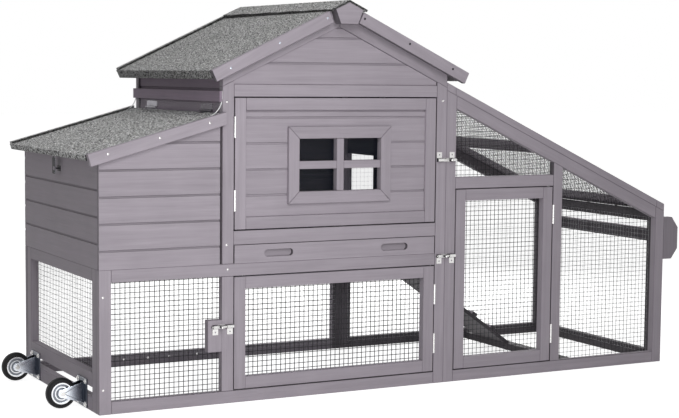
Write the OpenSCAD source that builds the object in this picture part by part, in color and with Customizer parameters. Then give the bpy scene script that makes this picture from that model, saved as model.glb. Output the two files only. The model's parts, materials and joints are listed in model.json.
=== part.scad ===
// Mobile chicken coop: a nest box, a raised house and a wire run on one timber frame,
// with two rigid casters at the nest end and a carrying handle at the run end.
// Built from the left end face (x = 0), the front face (y = 0) and the ground (z = 0),
// then moved so that the origin is the middle of the footprint on the ground.

/* [Frame] */
// Length of the frame from its left end to its right end
base_l = 2000; // [1940:10:2200]
// Depth of the frame from its front to its back
base_w = 706; // [680:2:780]
// Height of the lower frame
base_h = 410; // [400:2:450]
// Face width of the frame boards
stock_w = 36; // [34:1:38]
// Thickness of the frame boards
stock_t = 24; // [20:1:26]
// Gap at the joint between two boards
joint_gap = 0.3; // [0.2:0.1:0.5]
// Height of the rails at the caster end
caster_rail_w = 42; // [38:1:46]
// Open gap between the two caster rails
caster_rail_gap = 28; // [24:1:32]

/* [Siding] */
// Thickness of the siding boards
siding_t = 12; // [10:1:14]
// Height that one siding board covers
siding_pitch = 75.5; // [72:0.5:79]
// Height of the shadow groove along a board's top edge
groove_h = 6; // [4:0.5:8]
// Depth of the shadow groove
groove_d = 3; // [2:0.5:4]
// How far framed siding lies behind the face of its frame
siding_recess = 6; // [3:1:8]
// Height of the lowest board on the house door and the gables
cut_row_h = 65; // [55:1:75]

/* [House] */
// Distance from the left end to the house, which is the nest box's length
house_x = 374; // [350:2:400]
// Length of the house
house_l = 757; // [730:1:790]
// Height of the slot that the tray slides in
tray_slot_h = 55; // [50:1:60]
// Height of the sill between the tray and the house door
sill_w = 41; // [36:1:46]
// Height of the house door's opening
house_door_h = 389; // [370:1:420]
// How far the rafter's foot lies below the top of the tie beam
rafter_drop = 6; // [2:1:10]
// Distance of the pop hole from the back wall
pop_inset = 57; // [45:1:70]
// Width of the pop hole
pop_w = 225; // [205:5:235]
// Siding rows that the pop hole takes up
pop_rows = 3; // [2:1:3]
// Height of the perch above the lower frame
perch_z = 150; // [120:5:200]
// Corner radius of the perch
perch_r = 6; // [3:1:9]

/* [Roof] */
// Slope of the house roof in degrees
roof_pitch = 25.3; // [23:0.1:27]
// How far the eaves stand out from the house walls
eave_overhang = 40.5; // [36:0.5:46]
// How far the roof boards stand out in front
roof_front = 26; // [24:1:32]
// How far the roof boards stand out behind
roof_back = 35; // [25:1:45]
// Thickness of the roof boards
deck_t = 24; // [20:1:28]
// Thickness of the roofing felt
felt_t = 3; // [2:0.5:4]
// Height of the felted kerb along the back edge
kerb_h = 7; // [4:1:10]
// Width of the felted kerb along the back edge
kerb_w = 20; // [14:1:26]
// Width of the bargeboards
barge_w = 36; // [32:1:40]
// Thickness of the bargeboards
barge_t = 18; // [15:1:20]
// Width of each leaf of the ridge cap
cap_w = 64; // [58:1:70]
// Thickness of the ridge cap
cap_t = 12; // [10:1:14]
// Width of the plate at the ridge
plate_w = 91; // [84:1:98]
// Height of the plate at the ridge
plate_h = 64; // [58:1:70]
// Width of the ridge plate's bottom edge
plate_foot_w = 57; // [50:1:64]

/* [Nest box] */
// Depth of the nest box's end wall below the house wall
nest_drop = 198.5; // [185:0.5:210]
// Slope of the nest box lid in degrees
lid_pitch = 15.6; // [14.5:0.1:16.5]
// How far the lid stands out at the left end
lid_overhang = 33; // [28:1:38]
// Thickness of the lid boards
lid_t = 14; // [12:1:18]
// How far the lid's bargeboard stands above its felt
barge_lip = 2; // [1:0.5:3]
// How far the lid's bargeboard runs past the corner of the house
barge_past = 5; // [2:1:8]
// How far the lid boards stand out in front
lid_front = 2; // [1:0.5:4]
// How far the lid boards stand out behind
lid_back = 24; // [18:1:30]
// Gap between the closed lid and the walls
lid_clear = 0.6; // [0.4:0.1:1]
// Gap between the lid and the house wall
lid_wall_gap = 4; // [3:0.5:5]
// Gap between the nest box's boards and the corner of the house
nest_gap = 7; // [4:0.5:9]
// Thickness of the nest box floor
floor_t = 12; // [9:1:15]
// How far the top of the nest divider lies below the lid
divider_drop = 12; // [6:1:20]
// Projection of the batten that clamps the rain flap
batten_t = 8; // [6:1:12]
// Width of the batten that clamps the rain flap
batten_w = 31; // [26:1:36]
// Bend radius of the rain flap
flap_r = 44; // [42:1:48]
// Thickness of the rain flap
flap_t = 1; // [0.8:0.1:1.2]
// Length of the rain flap that lies on the lid
flap_tail = 14; // [8:1:40]

/* [Run] */
// Height of the run's roof above the house wall where they meet
run_lift = 16; // [8:1:24]
// Slope of the run's roof in degrees
run_pitch = 24.9; // [23.5:0.1:25.5]
// Thickness of the run's roof frame
run_roof_t = 22; // [18:1:25]
// Width of the run door's opening
run_door_w = 374; // [350:1:400]
// Gap between the run door's head rail and the rail under the roof
run_head_gap = 40.7; // [30:0.1:52]
// Share of the run's length that the ramp takes up
ramp_reach = 0.614; // [0.59:0.002:0.65]
// Depth of the ramp's walking face below the house floor
ramp_drop = 12; // [6:1:20]
// Width of the ramp
ramp_w = 200; // [180:1:215]
// Thickness of the ramp board
ramp_t = 12; // [10:1:15]
// Height of the cleats on the ramp
cleat_t = 10; // [7:1:12]
// Width of the cleats on the ramp
cleat_w = 20; // [15:1:24]
// Number of cleats on the ramp
cleats = 6; // [4:1:7]

/* [Doors and tray] */
// Running gap round each door
door_gap = 3; // [2.4:0.1:3.6]
// Distance of the window from the hinge side of the house door's opening
window_x = 174; // [150:1:190]
// Distance of the window from the right of the house door's opening
window_side = 165; // [150:1:180]
// Height of the window frame above the foot of the door's opening
window_z = 74; // [66:1:80]
// Distance of the window from the top of the house door's opening
window_drop = 88; // [80:1:100]
// Width of the window frame's boards
window_frame_w = 35; // [30:1:38]
// Thickness of the window frame's boards
window_frame_t = 12; // [9:1:14]
// Width of the window's glazing bars
bar_w = 23; // [18:1:26]
// Thickness of the window pane
pane_t = 2; // [1.5:0.5:3]
// Thickness of the tray's wooden front
tray_front_t = 18; // [15:1:20]
// Height of the metal pan's rim
pan_h = 30; // [24:1:34]
// Sheet thickness of the metal pan
pan_t = 1; // [0.8:0.1:1.5]
// Gap under the tray
tray_lift = 0.3; // [0.2:0.1:0.6]
// Length of the finger slots in the tray front
slot_l = 94; // [80:1:105]
// Height of the finger slots in the tray front
slot_h = 22; // [18:1:25]
// Distance of the finger slots from the ends of the tray front
slot_inset = 96; // [80:1:110]
// Depth of the tray's finger slots
slot_d = 13; // [9:1:14]

/* [Wheels and handle] */
// Radius of the wheels
wheel_r = 44; // [40:0.5:46]
// Width of the tyres
wheel_w = 26; // [22:1:30]
// Radius of the hub inside the tyre
hub_r = 31; // [27:0.5:33]
// Radius of the axle bolts
axle_r = 4; // [3:0.5:5]
// Radial running clearance of the hub on its axle
axle_clear = 0.05; // [0.03:0.01:0.1]
// Distance of the axles from the end of the frame
axle_reach = 66; // [62:1:72]
// Height of the tyres above the ground
wheel_lift = 0.5; // [0.3:0.1:1.5]
// Distance of each caster from the nearer side of the frame
caster_y = 142; // [120:1:160]
// Distance of the back caster from the back
caster_back = 112; // [100:1:150]
// Side of the casters' square plates
caster_plate_w = 85; // [78:1:88]
// Sheet thickness of the casters
caster_t = 3; // [2.5:0.5:4]
// Gap between a wheel and its fork
fork_gap = 1.5; // [1:0.5:3]
// How far the handle stands out from the end of the frame
handle_reach = 61; // [54:1:70]
// Depth of the middle of the handle below the end of the run's roof
handle_drop = 92; // [84:1:108]
// Height of the handle's side plates
handle_h = 142; // [130:1:150]
// Height of the handle's grip board
grip_h = 44; // [38:1:48]
// Thickness of the handle's grip board
grip_t = 22; // [18:1:24]

/* [Hinges and latches] */
// Length of the butt hinges
hinge_l = 62; // [54:1:70]
// Length of a lid hinge
lid_hinge_l = 88; // [78:1:100]
// Outside radius of the hinge knuckles
knuckle_r = 3.4; // [3:0.1:3.8]
// Radius of the hinge pins
pin_r = 1.6; // [1.4:0.1:1.8]
// Clearance between a knuckle and its pin and neighbours
knuckle_clear = 0.06; // [0.05:0.01:0.1]
// Sheet thickness of the hinge leaves
leaf_t = 0.9; // [0.7:0.1:1]
// Width of the hinge leaves
leaf_w = 20; // [16:1:24]
// Distance of the house door's hinges from the ends of the door
house_hinge_inset = 85; // [72:1:98]
// Distance of the other doors' hinges from the ends of the door
door_hinge_inset = 89; // [75:1:105]
// Distance of the lid's hinges from the sides of the frame
lid_hinge_inset = 130; // [110:5:160]
// Length of a barrel bolt's plate
bolt_plate_l = 64; // [58:1:66]
// How far a barrel bolt's feet reach from its rod
bolt_plate_h = 24; // [20:1:26]
// Width of a barrel bolt's feet
bolt_foot_w = 18; // [15:1:20]
// Radius of a barrel bolt's rod
rod_r = 3.5; // [3:0.5:4]
// Clearance of the rod in its guides
rod_clear = 0.1; // [0.05:0.05:0.3]
// Height of the house door's bolt above the lower frame
house_bolt_z = 291; // [270:1:300]
// Depth of the run door's bolt below the top of the lower frame
run_bolt_drop = 9; // [4:1:20]
// Depth of the lower door's bolt below the top of the lower frame
base_bolt_drop = 182; // [172:1:192]
// Width of the block beside the lower door's bolt
latch_block_w = 44; // [38:1:50]
// Height of the block beside the lower door's bolt
latch_block_h = 94; // [80:1:100]
// Width of the hasp
hasp_w = 30; // [26:1:34]
// Length of the hasp's strap
hasp_l = 60; // [54:1:62]
// Distance of the hasp's hinge from the nest box wall
hasp_x = 16; // [15:1:20]

/* [Wire mesh] */
// Thickness of the wire
wire_d = 2.2; // [1.8:0.1:2.4]
// Spacing of the modelled wires, every fifth one of the real mesh
net_pitch = 76; // [66:1:90]
// How far the mesh laps onto its frame
net_lap = 12; // [8:1:16]

/* [Hidden] */
$fn = 48;

paint = "#8f8890";
felt_grey = "#8d918c";
zinc = "#c9ccd0";
nickel = "#e8e4da";
black_rubber = "#26262a";
wire_grey = "#55555a";

X = [1, 0, 0];
Y = [0, 1, 0];
Z = [0, 0, 1];

// Faces of the house, its openings and the run
house_r = house_x + house_l;
house_cx = house_x + house_l / 2;
open_l = house_x + stock_w;
open_r = house_r - stock_w;
back_y = base_w - stock_t;
pop_y = back_y - pop_inset - pop_w;
ramp_y = pop_y + (pop_w - ramp_w) / 2;
run_l = house_r + stock_w;
run_mid = run_l + run_door_w;
run_r = base_l - stock_w;

// Heights in the house
tray_top = base_h + tray_slot_h;
sill_top = tray_top + sill_w;
tie_low = sill_top + house_door_h;
tie_top = tie_low + stock_w;
wall_h = tie_top - rafter_drop;
wall_face = house_x + siding_recess;
pop_top = tray_top + pop_rows * siding_pitch;

// Rafter top at the ridge, and the height of a line that lies n outside the rafters' top
ridge_z = wall_h + stock_w / cos(roof_pitch) + house_l / 2 * tan(roof_pitch);
function roof_z(x, n) = ridge_z + n / cos(roof_pitch) - abs(x - house_cx) * tan(roof_pitch);
roof_top = deck_t + felt_t;
eave_x = house_r + eave_overhang;
wall_top = roof_z(house_x, -joint_gap);

// Height of a line that lies n above the underside of the nest box lid
nest_top = wall_h - nest_drop;
function lid_z(x, n) = nest_top + n / cos(lid_pitch) + x * tan(lid_pitch);
lid_top = lid_t + felt_t;
lid_end = house_x - lid_wall_gap;
nest_end = house_x - nest_gap;
lid_pivot_x = wall_face - knuckle_r - joint_gap;
lid_pivot_z = lid_z(lid_pivot_x, lid_top + knuckle_r + joint_gap);
batten_low = lid_pivot_z + leaf_w + 7;
flap_x = house_x - joint_gap;

// Height of a line that lies n above the underside of the run's roof frame
run_rail_h = wall_h + run_lift - run_roof_t / cos(run_pitch);
function run_z(x, n) = run_rail_h + n / cos(run_pitch) - (x - house_r) * tan(run_pitch);
run_end_h = run_z(base_l, 0);
run_head = run_z(run_mid, -stock_w) - stock_w - run_head_gap;

// Ramp, from the rail under the house wall to a level cut on the floor tie
tie_h = stock_t;
ramp_x = house_r + joint_gap;
ramp_h = base_h - ramp_drop;
ramp_sole = tie_h + joint_gap;
ramp_toe_x = ramp_x + ramp_reach * (base_l - house_r);
ramp_pitch = atan2(ramp_h - ramp_sole, ramp_toe_x - ramp_x);
ramp_rise = ramp_t / cos(ramp_pitch);
ramp_heel_x = ramp_toe_x - ramp_rise / tan(ramp_pitch);
floor_tie_x = ramp_toe_x - stock_w + 2 * stock_t / 3;

// Inner faces of the nets on the front and the back
net_in = stock_t + wire_d;
net_out = base_w - net_in;

// Bolt and handle heights
house_bolt_h = base_h + house_bolt_z;
run_bolt_h = base_h - run_bolt_drop;
base_bolt_h = base_h - base_bolt_drop;
handle_z = run_end_h - handle_drop;

// Caster heights, hinge axes and the origin
axle_z = wheel_r + wheel_lift;
knuckle_y = -knuckle_r - joint_gap;
house_hinge_x = open_l + door_gap / 2;
base_hinge_x = open_r - door_gap / 2;
run_hinge_x = run_mid - door_gap / 2;
plate_y = -roof_front - 2 * barge_t;
origin_x = (base_l + handle_reach - axle_reach - wheel_r) / 2;
origin_y = (plate_y + base_w + roof_back + felt_t) / 2;

// Helpers

// A box from its lowest to its highest corner
module block(lo, hi) { translate(lo) cube(hi - lo); }

// A board from corner to corner, short by the joint gap at both ends along one axis
module board(lo, hi, along) { block(lo + joint_gap * along, hi - joint_gap * along); }

// A flat piece from y0 to y1 with its outline in the XZ plane
module slab(outline, y0, y1) {
    translate([0, y1, 0]) rotate([90, 0, 0]) linear_extrude(y1 - y0) polygon(outline);
}

// A flat piece from x0 to x1 with its outline in the YZ plane
module slab_x(outline, x0, x1) {
    translate([x0, 0, 0]) rotate([90, 0, 90]) linear_extrude(x1 - x0) polygon(outline);
}

// The same thing seen from behind
module at_back() { translate([0, base_w, 0]) mirror(Y) children(); }

// Front and back alike
module front_and_back() {
    children();
    at_back() children();
}

// A wall that runs along Y in place of X
module along_y() { mirror([1, -1, 0]) children(); }

// Both slopes of the house roof
module both_slopes() {
    children();
    translate([2 * house_cx, 0, 0]) mirror(X) children();
}

// A shaft along Y with its ends at y0 and y1
module shaft_y(x, z, r, y0, y1) { translate([x, y1, z]) rotate([90, 0, 0]) cylinder(r = r, h = y1 - y0); }

// A shaft along X with its ends at x0 and x1
module shaft_x(y, z, r, x0, x1) { translate([x0, y, z]) rotate([0, 90, 0]) cylinder(r = r, h = x1 - x0); }

// A rectangle with rounded corners, from its middle
module rounded_rect(w, h, r) {
    square([w - 2 * r, h], center = true);
    square([w, h - 2 * r], center = true);
    for (u = [-1, 1], v = [-1, 1])
        translate([u * (w / 2 - r), v * (h / 2 - r)]) circle(r);
}

// Siding: rows of [bottom, top] between two heights, with the height of the first one
// given and the last one taking what is left
function siding_rows(z0, z1, first) =
    let (n = max(0, floor((z1 - z0 - first) / siding_pitch + 0.8)), next = z0 + first)
    [for (i = [0:n]) [i == 0 ? z0 : next + (i - 1) * siding_pitch, i == n ? z1 : next + i * siding_pitch]];

// One siding board along X, with its face at y = 0 and a shadow groove along its top edge
module siding_board(x0, x1, z0, z1) {
    low = z0 + joint_gap;
    step = z1 - groove_h;
    profile = [[0, low], [siding_t, low], [siding_t, z1], [groove_d, z1], [groove_d, step], [0, step]];
    slab_x(profile, x0 + joint_gap, x1 - joint_gap);
}

module siding(x0, x1, z0, z1, first) {
    for (row = siding_rows(z0, z1, first)) siding_board(x0, x1, row[0], row[1]);
}

// Wire mesh: the gaps of a net of width w whose height goes from h0 to h1
function net_cells(w, h0, h1) =
    let (columns = max(1, round(w / net_pitch)), step = (w - wire_d) / columns,
         low = min(h0, h1), rows = max(1, round(low / net_pitch)),
         rise = h0 == h1 ? (low - wire_d) / rows : net_pitch)
    [for (i = [0:columns - 1])
        let (ua = wire_d + i * step, ub = ua + step - wire_d,
             ta = h0 + (h1 - h0) * ua / w - 1.2 * wire_d, tb = h0 + (h1 - h0) * ub / w - 1.2 * wire_d,
             full = max(0, floor(min(ta, tb) / rise - 0.3)))
        for (j = [0:full])
            let (va = wire_d + j * rise, vb = va + rise - wire_d)
            j < full ? [[ua, va], [ub, va], [ub, vb], [ua, vb]] : [[ua, va], [ub, va], [ub, tb], [ua, ta]]];

module net(w, h0, h1) {
    linear_extrude(wire_d) difference() {
        polygon([[0, 0], [w, 0], [w, h1], [0, h0]]);
        for (cell = net_cells(w, h0, h1)) polygon(cell);
    }
}

// A net on the back of a frame at y, from x0 to x1 and from z0 to its top at each end
module net_xz(x0, x1, z0, top0, top1, y) {
    translate([x0, y + wire_d, z0]) rotate([90, 0, 0]) net(x1 - x0, top0 - z0, top1 - z0);
}

// A four-board door frame between its corners, stiles full height
module door_frame(x0, x1, z0, z1) {
    board([x0, 0, z0], [x0 + stock_w, stock_t, z1], 0 * Z);
    board([x1 - stock_w, 0, z0], [x1, stock_t, z1], 0 * Z);
    board([x0 + stock_w, 0, z0], [x1 - stock_w, stock_t, z0 + stock_w], X);
    board([x0 + stock_w, 0, z1 - stock_w], [x1 - stock_w, stock_t, z1], X);
}

// A butt hinge with its pin along Z, the post on its left and the door on its right
module hinge_leaf(side, y0, y1) {
    inner = side * (door_gap / 2 - leaf_t);
    outer = side * door_gap / 2;
    block([min(inner, outer), y0, -hinge_l / 2], [max(inner, outer), y1, hinge_l / 2]);
}

module knuckle(z0, z1, side) {
    inner = side * (door_gap / 2 - leaf_t);
    outer = side * door_gap / 2;
    translate([0, knuckle_y, z0]) cylinder(r = knuckle_r, h = z1 - z0);
    block([min(inner, outer), knuckle_y, z0], [max(inner, outer), joint_gap, z1]);
}

module hinge_post_half() {
    difference() {
        union() {
            hinge_leaf(-1, joint_gap / 2, leaf_w);
            for (s = [-1, 1])
                knuckle(s > 0 ? hinge_l / 6 : -hinge_l / 2, s > 0 ? hinge_l / 2 : -hinge_l / 6, -1);
        }
        translate([0, knuckle_y, -hinge_l]) cylinder(r = pin_r + knuckle_clear, h = 2 * hinge_l);
    }
    translate([0, knuckle_y, -hinge_l / 2]) cylinder(r = pin_r, h = hinge_l);
}

module hinge_door_half() {
    difference() {
        union() {
            hinge_leaf(1, joint_gap / 2, leaf_w);
            knuckle(-hinge_l / 6 + joint_gap, hinge_l / 6 - joint_gap, 1);
        }
        translate([0, knuckle_y, -hinge_l]) cylinder(r = pin_r + knuckle_clear, h = 2 * hinge_l);
    }
}

// Places a door's two hinges, mirrored where the hinges are on the door's right
module door_hinges(x, z0, z1, inset, right) {
    for (z = [z0 + inset, z1 - inset])
        translate([x, 0, z]) mirror(right ? X : 0 * X) children();
}

// The lid's hinge: pin along Y at the lid's upper edge
module lid_hinges() {
    for (y = [lid_hinge_inset, base_w - lid_hinge_inset])
        translate([lid_pivot_x, y, lid_pivot_z]) children();
}

// A barrel bolt's plate with its two guides, its rod along X through the origin
bolt_y = -rod_r - 3;
module bolt_plate() {
    barrel_r = rod_r + 2;
    hole_r = 2.2;
    foot_x = [0, bolt_plate_l - bolt_foot_w];
    difference() {
        union() {
            rotate([90, 0, 0]) linear_extrude(leaf_t) difference() {
                union() {
                    translate([0, -barrel_r]) square([bolt_plate_l, 2 * barrel_r]);
                    for (x = foot_x) translate([x, -bolt_plate_h]) square([bolt_foot_w, bolt_plate_h]);
                }
                for (x = foot_x) translate([x + bolt_foot_w / 2, -bolt_plate_h + 8]) circle(hole_r);
            }
            for (x = [[0, bolt_plate_l / 3], [0.78 * bolt_plate_l, bolt_plate_l]])
                translate([x[0], 0, 0]) rotate([90, 0, 90]) linear_extrude(x[1] - x[0]) {
                    translate([bolt_y, 0]) circle(barrel_r);
                    translate([bolt_y, -barrel_r]) square([-bolt_y, 2 * barrel_r]);
                }
        }
        shaft_x(bolt_y, 0, rod_r + rod_clear, -1, bolt_plate_l + 1);
    }
}

// The bolt's rod and its turned-up thumb pin, drawn back so that its nose is at x = 0
module bolt_rod(nose) {
    shaft_x(bolt_y, 0, rod_r, nose, bolt_plate_l + 4);
    pin_x = bolt_plate_l - 22;
    translate([pin_x, bolt_y, 0]) rotate([90, 0, 0]) cylinder(r = rod_r - 0.6, h = 16);
    translate([pin_x, bolt_y - 16, 0]) sphere(rod_r + 0.6);
}

bolt_nose = -1;
module at_house_bolt() { translate([open_r + 2, 0, house_bolt_h]) children(); }
module at_run_bolt() { translate([run_l - 2, 0, run_bolt_h]) mirror(X) children(); }
module at_base_bolt() { translate([open_l - 2, 0, base_bolt_h]) mirror(X) children(); }

// Lower frame

module base_front_frame() {
    color(paint) {
        board([0, 0, 0], [stock_w, stock_t, base_h], 0 * Z);
        board([stock_w, 0, base_h - stock_w], [open_r, stock_t, base_h], X);
        board([stock_w, 0, 0], [open_r, stock_t, stock_w], X);
        board([house_x, 0, stock_w], [open_l, stock_t, base_h - stock_w], Z);
        block([house_x - latch_block_w, 0, base_bolt_h - 0.79 * latch_block_h],
              [house_x - joint_gap, stock_t, base_bolt_h + 0.21 * latch_block_h]);
    }
}

module base_back_frame() {
    color(paint) at_back() {
        board([0, 0, 0], [stock_w, stock_t, base_h], 0 * Z);
        board([stock_w, 0, base_h - stock_w], [open_r, stock_t, base_h], X);
        board([stock_w, 0, 0], [open_r, stock_t, stock_w], X);
    }
}

caster_low = caster_rail_w + caster_rail_gap;
caster_top = caster_low + caster_rail_w;
module base_left_frame() {
    stile_l = stock_t + stock_w;
    stile_r = back_y - stock_w;
    color(paint) {
        board([0, stock_t, 0], [stock_t, stile_l, base_h], Y);
        board([0, stile_r, 0], [stock_t, back_y, base_h], Y);
        board([0, stile_l, base_h - stock_w], [stock_t, stile_r, base_h], Y);
        board([0, stile_l, caster_low], [stock_t, stile_r, caster_top], Y);
        board([0, stile_l, 0], [stock_t, stile_r, caster_rail_w], Y);
    }
}

module base_mesh() {
    low = stock_w - net_lap;
    top = base_h - stock_w + net_lap;
    color(wire_grey) {
        net_xz(stock_w - net_lap, house_x + net_lap, low, top, top, stock_t);
        at_back() net_xz(stock_w - net_lap, open_r + net_lap, low, top, top, stock_t);
        along_y() net_xz(stock_t + stock_w - net_lap, back_y - stock_w + net_lap,
                         caster_top - net_lap, top, top, stock_t);
    }
}

// Nest box

module nest_side_walls() {
    color(paint) front_and_back() intersection() {
        siding(0, nest_end, base_h, lid_z(nest_end, 0), tray_slot_h);
        slab([[0, base_h], [nest_end, base_h], [nest_end, lid_z(nest_end, -lid_clear)],
              [0, lid_z(0, -lid_clear)]], -1, siding_t + 1);
    }
}

module nest_end_wall() {
    inner = siding_t + joint_gap;
    top = nest_top - lid_clear;
    color(paint) {
        along_y() siding(siding_t, base_w - siding_t, base_h, top, siding_pitch);
        front_and_back()
            block([inner, inner, base_h + floor_t + joint_gap], [inner + stock_w, inner + stock_t, top]);
    }
}

module nest_floor() {
    color(paint)
        block([siding_t + joint_gap, siding_t + joint_gap, base_h],
              [nest_end, base_w - siding_t - joint_gap, base_h + floor_t]);
}

module nest_divider() {
    low = base_h + floor_t + joint_gap;
    x0 = siding_t + joint_gap;
    x1 = nest_end;
    middle = base_w / 2;
    color(paint)
        slab([[x0, low], [x1, low], [x1, lid_z(x1, -divider_drop)], [x0, lid_z(x0, -divider_drop)]],
             middle - siding_t / 2, middle + siding_t / 2);
}

module nest_lid_deck() {
    x0 = -lid_overhang;
    tip = x0 - lid_t * sin(lid_pitch);
    color(paint)
        slab([[x0, lid_z(x0, 0)], [lid_end, lid_z(lid_end, 0)], [lid_end, lid_z(lid_end, lid_t)],
              [tip, lid_z(tip, lid_t)]], -lid_front, base_w + lid_back);
}

// Felt on the lid, folded down over its left edge and its back edge, where it covers a low kerb
module nest_lid_felt() {
    x0 = -lid_overhang;
    out = x0 - felt_t * cos(lid_pitch);
    back = base_w + lid_back;
    tip = x0 - lid_t * sin(lid_pitch);
    edge = tip - felt_t * cos(lid_pitch) - felt_t * sin(lid_pitch);
    color(felt_grey) union() {
        slab([[x0, lid_z(x0, 0)], [tip, lid_z(tip, lid_t)], [lid_end, lid_z(lid_end, lid_t)],
              [lid_end, lid_z(lid_end, lid_top)], [edge, lid_z(edge, lid_top)],
              [out, lid_z(x0, 0) - felt_t * sin(lid_pitch)]], -lid_front, back);
        slab([[x0, lid_z(x0, 0)], [lid_end, lid_z(lid_end, 0)], [lid_end, lid_z(lid_end, lid_top)],
              [edge, lid_z(edge, lid_top)]], back, back + felt_t);
        slab([[tip, lid_z(tip, lid_t)], [lid_end, lid_z(lid_end, lid_t)],
              [lid_end, lid_z(lid_end, lid_top + kerb_h)], [edge, lid_z(edge, lid_top + kerb_h)]],
             back - kerb_w, back + felt_t);
    }
}

module nest_lid_barge() {
    rise = lid_top + barge_lip;
    foot = rise - barge_w;
    x0 = -lid_overhang - foot * sin(lid_pitch);
    x1 = -lid_overhang - rise * sin(lid_pitch);
    end = house_x + barge_past;
    color(paint)
        slab([[x0, lid_z(x0, foot)], [end, lid_z(end, foot)], [end, lid_z(end, rise)],
              [x1, lid_z(x1, rise)]], -lid_front - barge_t, -lid_front - joint_gap);
}

// Hinge leaves on the lid and the hanger that the hasp's pin runs in
hasp_z = lid_z(-hasp_x, -knuckle_r - 1 - joint_gap);
module nest_lid_leaves() {
    third = lid_hinge_l / 6;
    color(nickel) {
        lid_hinges() difference() {
            union() {
                shaft_y(0, 0, knuckle_r, -third + joint_gap, third - joint_gap);
                rotate([0, -lid_pitch, 0])
                    block([-0.8 * leaf_w - knuckle_r, -third + joint_gap, -knuckle_r],
                          [0, third - joint_gap, -knuckle_r + leaf_t]);
            }
            shaft_y(0, 0, pin_r + knuckle_clear, -lid_hinge_l, lid_hinge_l);
        }
        translate([-hasp_x, base_w / 2, hasp_z]) rotate([0, -lid_pitch, 0]) {
            block([-hasp_x / 2, -hasp_w / 2, knuckle_r + 0.2], [hasp_x / 2, hasp_w / 2, knuckle_r + 1]);
            for (y = [-hasp_w / 6, hasp_w / 2])
                translate([0, y, 0]) rotate([90, 0, 0]) linear_extrude(hasp_w / 3) hasp_ear();
        }
    }
}

// Outline of an ear with a bore for the hasp's pin
module hasp_ear() {
    difference() {
        union() {
            circle(knuckle_r);
            translate([-0.9 * knuckle_r, 0]) square([1.8 * knuckle_r, knuckle_r + 0.6]);
        }
        circle(pin_r + knuckle_clear);
    }
}

// A strap with an eye, hanging from its own pin
module hasp_strap() {
    eye_z = -0.68 * hasp_l;
    bore = hasp_w / 6 - joint_gap;
    color(zinc) translate([-hasp_x, base_w / 2, hasp_z]) {
        shaft_y(0, 0, pin_r, -hasp_w / 2, hasp_w / 2);
        shaft_y(0, 0, knuckle_r - 0.4, -bore, bore);
        translate([-leaf_t / 2, 0, 0]) rotate([90, 0, 90]) linear_extrude(leaf_t) difference() {
            union() {
                translate([-bore, -knuckle_r - 6]) square([2 * bore, knuckle_r + 6]);
                translate([0, -hasp_l / 2 - 3]) rounded_rect(hasp_w, hasp_l - 12, 5);
            }
            translate([0, eye_z]) rounded_rect(18, 12, 4);
        }
    }
}

// House

module house_gable_frame() {
    left_top = roof_z(house_x, -stock_w) - joint_gap;
    inner_top = roof_z(open_l, -stock_w) - joint_gap;
    slab([[house_x, base_h + joint_gap], [open_l, base_h + joint_gap], [open_l, inner_top],
          [house_x, left_top]], 0, stock_t);
    slab([[open_r, 0], [house_r, 0], [house_r, left_top], [open_r, inner_top]], 0, stock_t);
    board([open_l, 0, tie_low], [open_r, stock_t, tie_top], X);
    both_slopes()
        slab([[house_cx + joint_gap, roof_z(house_cx + joint_gap, -stock_w)],
              [house_r, roof_z(house_r, -stock_w)], [house_r, roof_z(house_r, -joint_gap)],
              [house_cx + joint_gap, roof_z(house_cx + joint_gap, -joint_gap)]], 0, stock_t);
}

module house_front_frame() {
    color(paint) {
        house_gable_frame();
        board([open_l, 0, tray_top], [open_r, stock_t, sill_top], X);
    }
}

module house_back_frame() {
    color(paint) at_back() {
        house_gable_frame();
        board([open_l, 0, base_h], [open_r, stock_t, tray_top], X);
    }
}

module gable_siding() {
    apex = roof_z(house_cx, -stock_w) - 2 * joint_gap;
    heel = roof_z(open_l, -stock_w) - 2 * joint_gap;
    color(paint) front_and_back() intersection() {
        translate([0, siding_recess, 0]) siding(open_l, open_r, tie_top, apex, cut_row_h);
        slab([[open_l, tie_top], [open_r, tie_top], [open_r, heel], [house_cx, apex], [open_l, heel]],
             0, stock_t);
    }
}

module house_back_siding() {
    color(paint) at_back() translate([0, siding_recess, 0]) siding(open_l, open_r, tray_top, tie_low, siding_pitch);
}

// A rail under the siding, a middle post inside it, boards above the nest opening and a batten outside
module house_left_wall() {
    middle = base_w / 2;
    color(paint) {
        board([house_x, net_in, base_h - stock_w], [open_l - joint_gap, net_out, base_h - joint_gap], Y);
        board([wall_face + siding_t + joint_gap, middle - stock_w / 2, base_h],
              [open_l, middle + stock_w / 2, wall_top], 0 * Z);
        translate([wall_face, 0, 0]) along_y() {
            siding_board(stock_t, back_y, base_h, tray_top);
            siding(stock_t, back_y, pop_top, wall_top, siding_pitch);
        }
        batten_x = flap_x - flap_t - joint_gap;
        board([batten_x - batten_t, 0, batten_low], [batten_x, base_w, batten_low + batten_w], 0 * Z);
    }
}

// A rail under the siding, jambs inside it, and boards that leave the pop hole free
module house_right_wall() {
    jamb_x = house_r - siding_t - joint_gap - stock_t;
    pop_end = pop_y + pop_w;
    color(paint) {
        board([house_r - stock_t, net_in, base_h - stock_w], [house_r, net_out, base_h - joint_gap], Y);
        for (y = [pop_y - stock_w, pop_end])
            board([jamb_x, y, base_h], [jamb_x + stock_t, y + stock_w, wall_top], 0 * Z);
        translate([house_r, 0, 0]) mirror(X) along_y() {
            siding_board(stock_t, back_y, base_h, tray_top);
            siding(stock_t, pop_y, tray_top, pop_top, siding_pitch);
            siding(pop_end, back_y, tray_top, pop_top, siding_pitch);
            siding(stock_t, back_y, pop_top, wall_top, siding_pitch);
        }
    }
}

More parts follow.
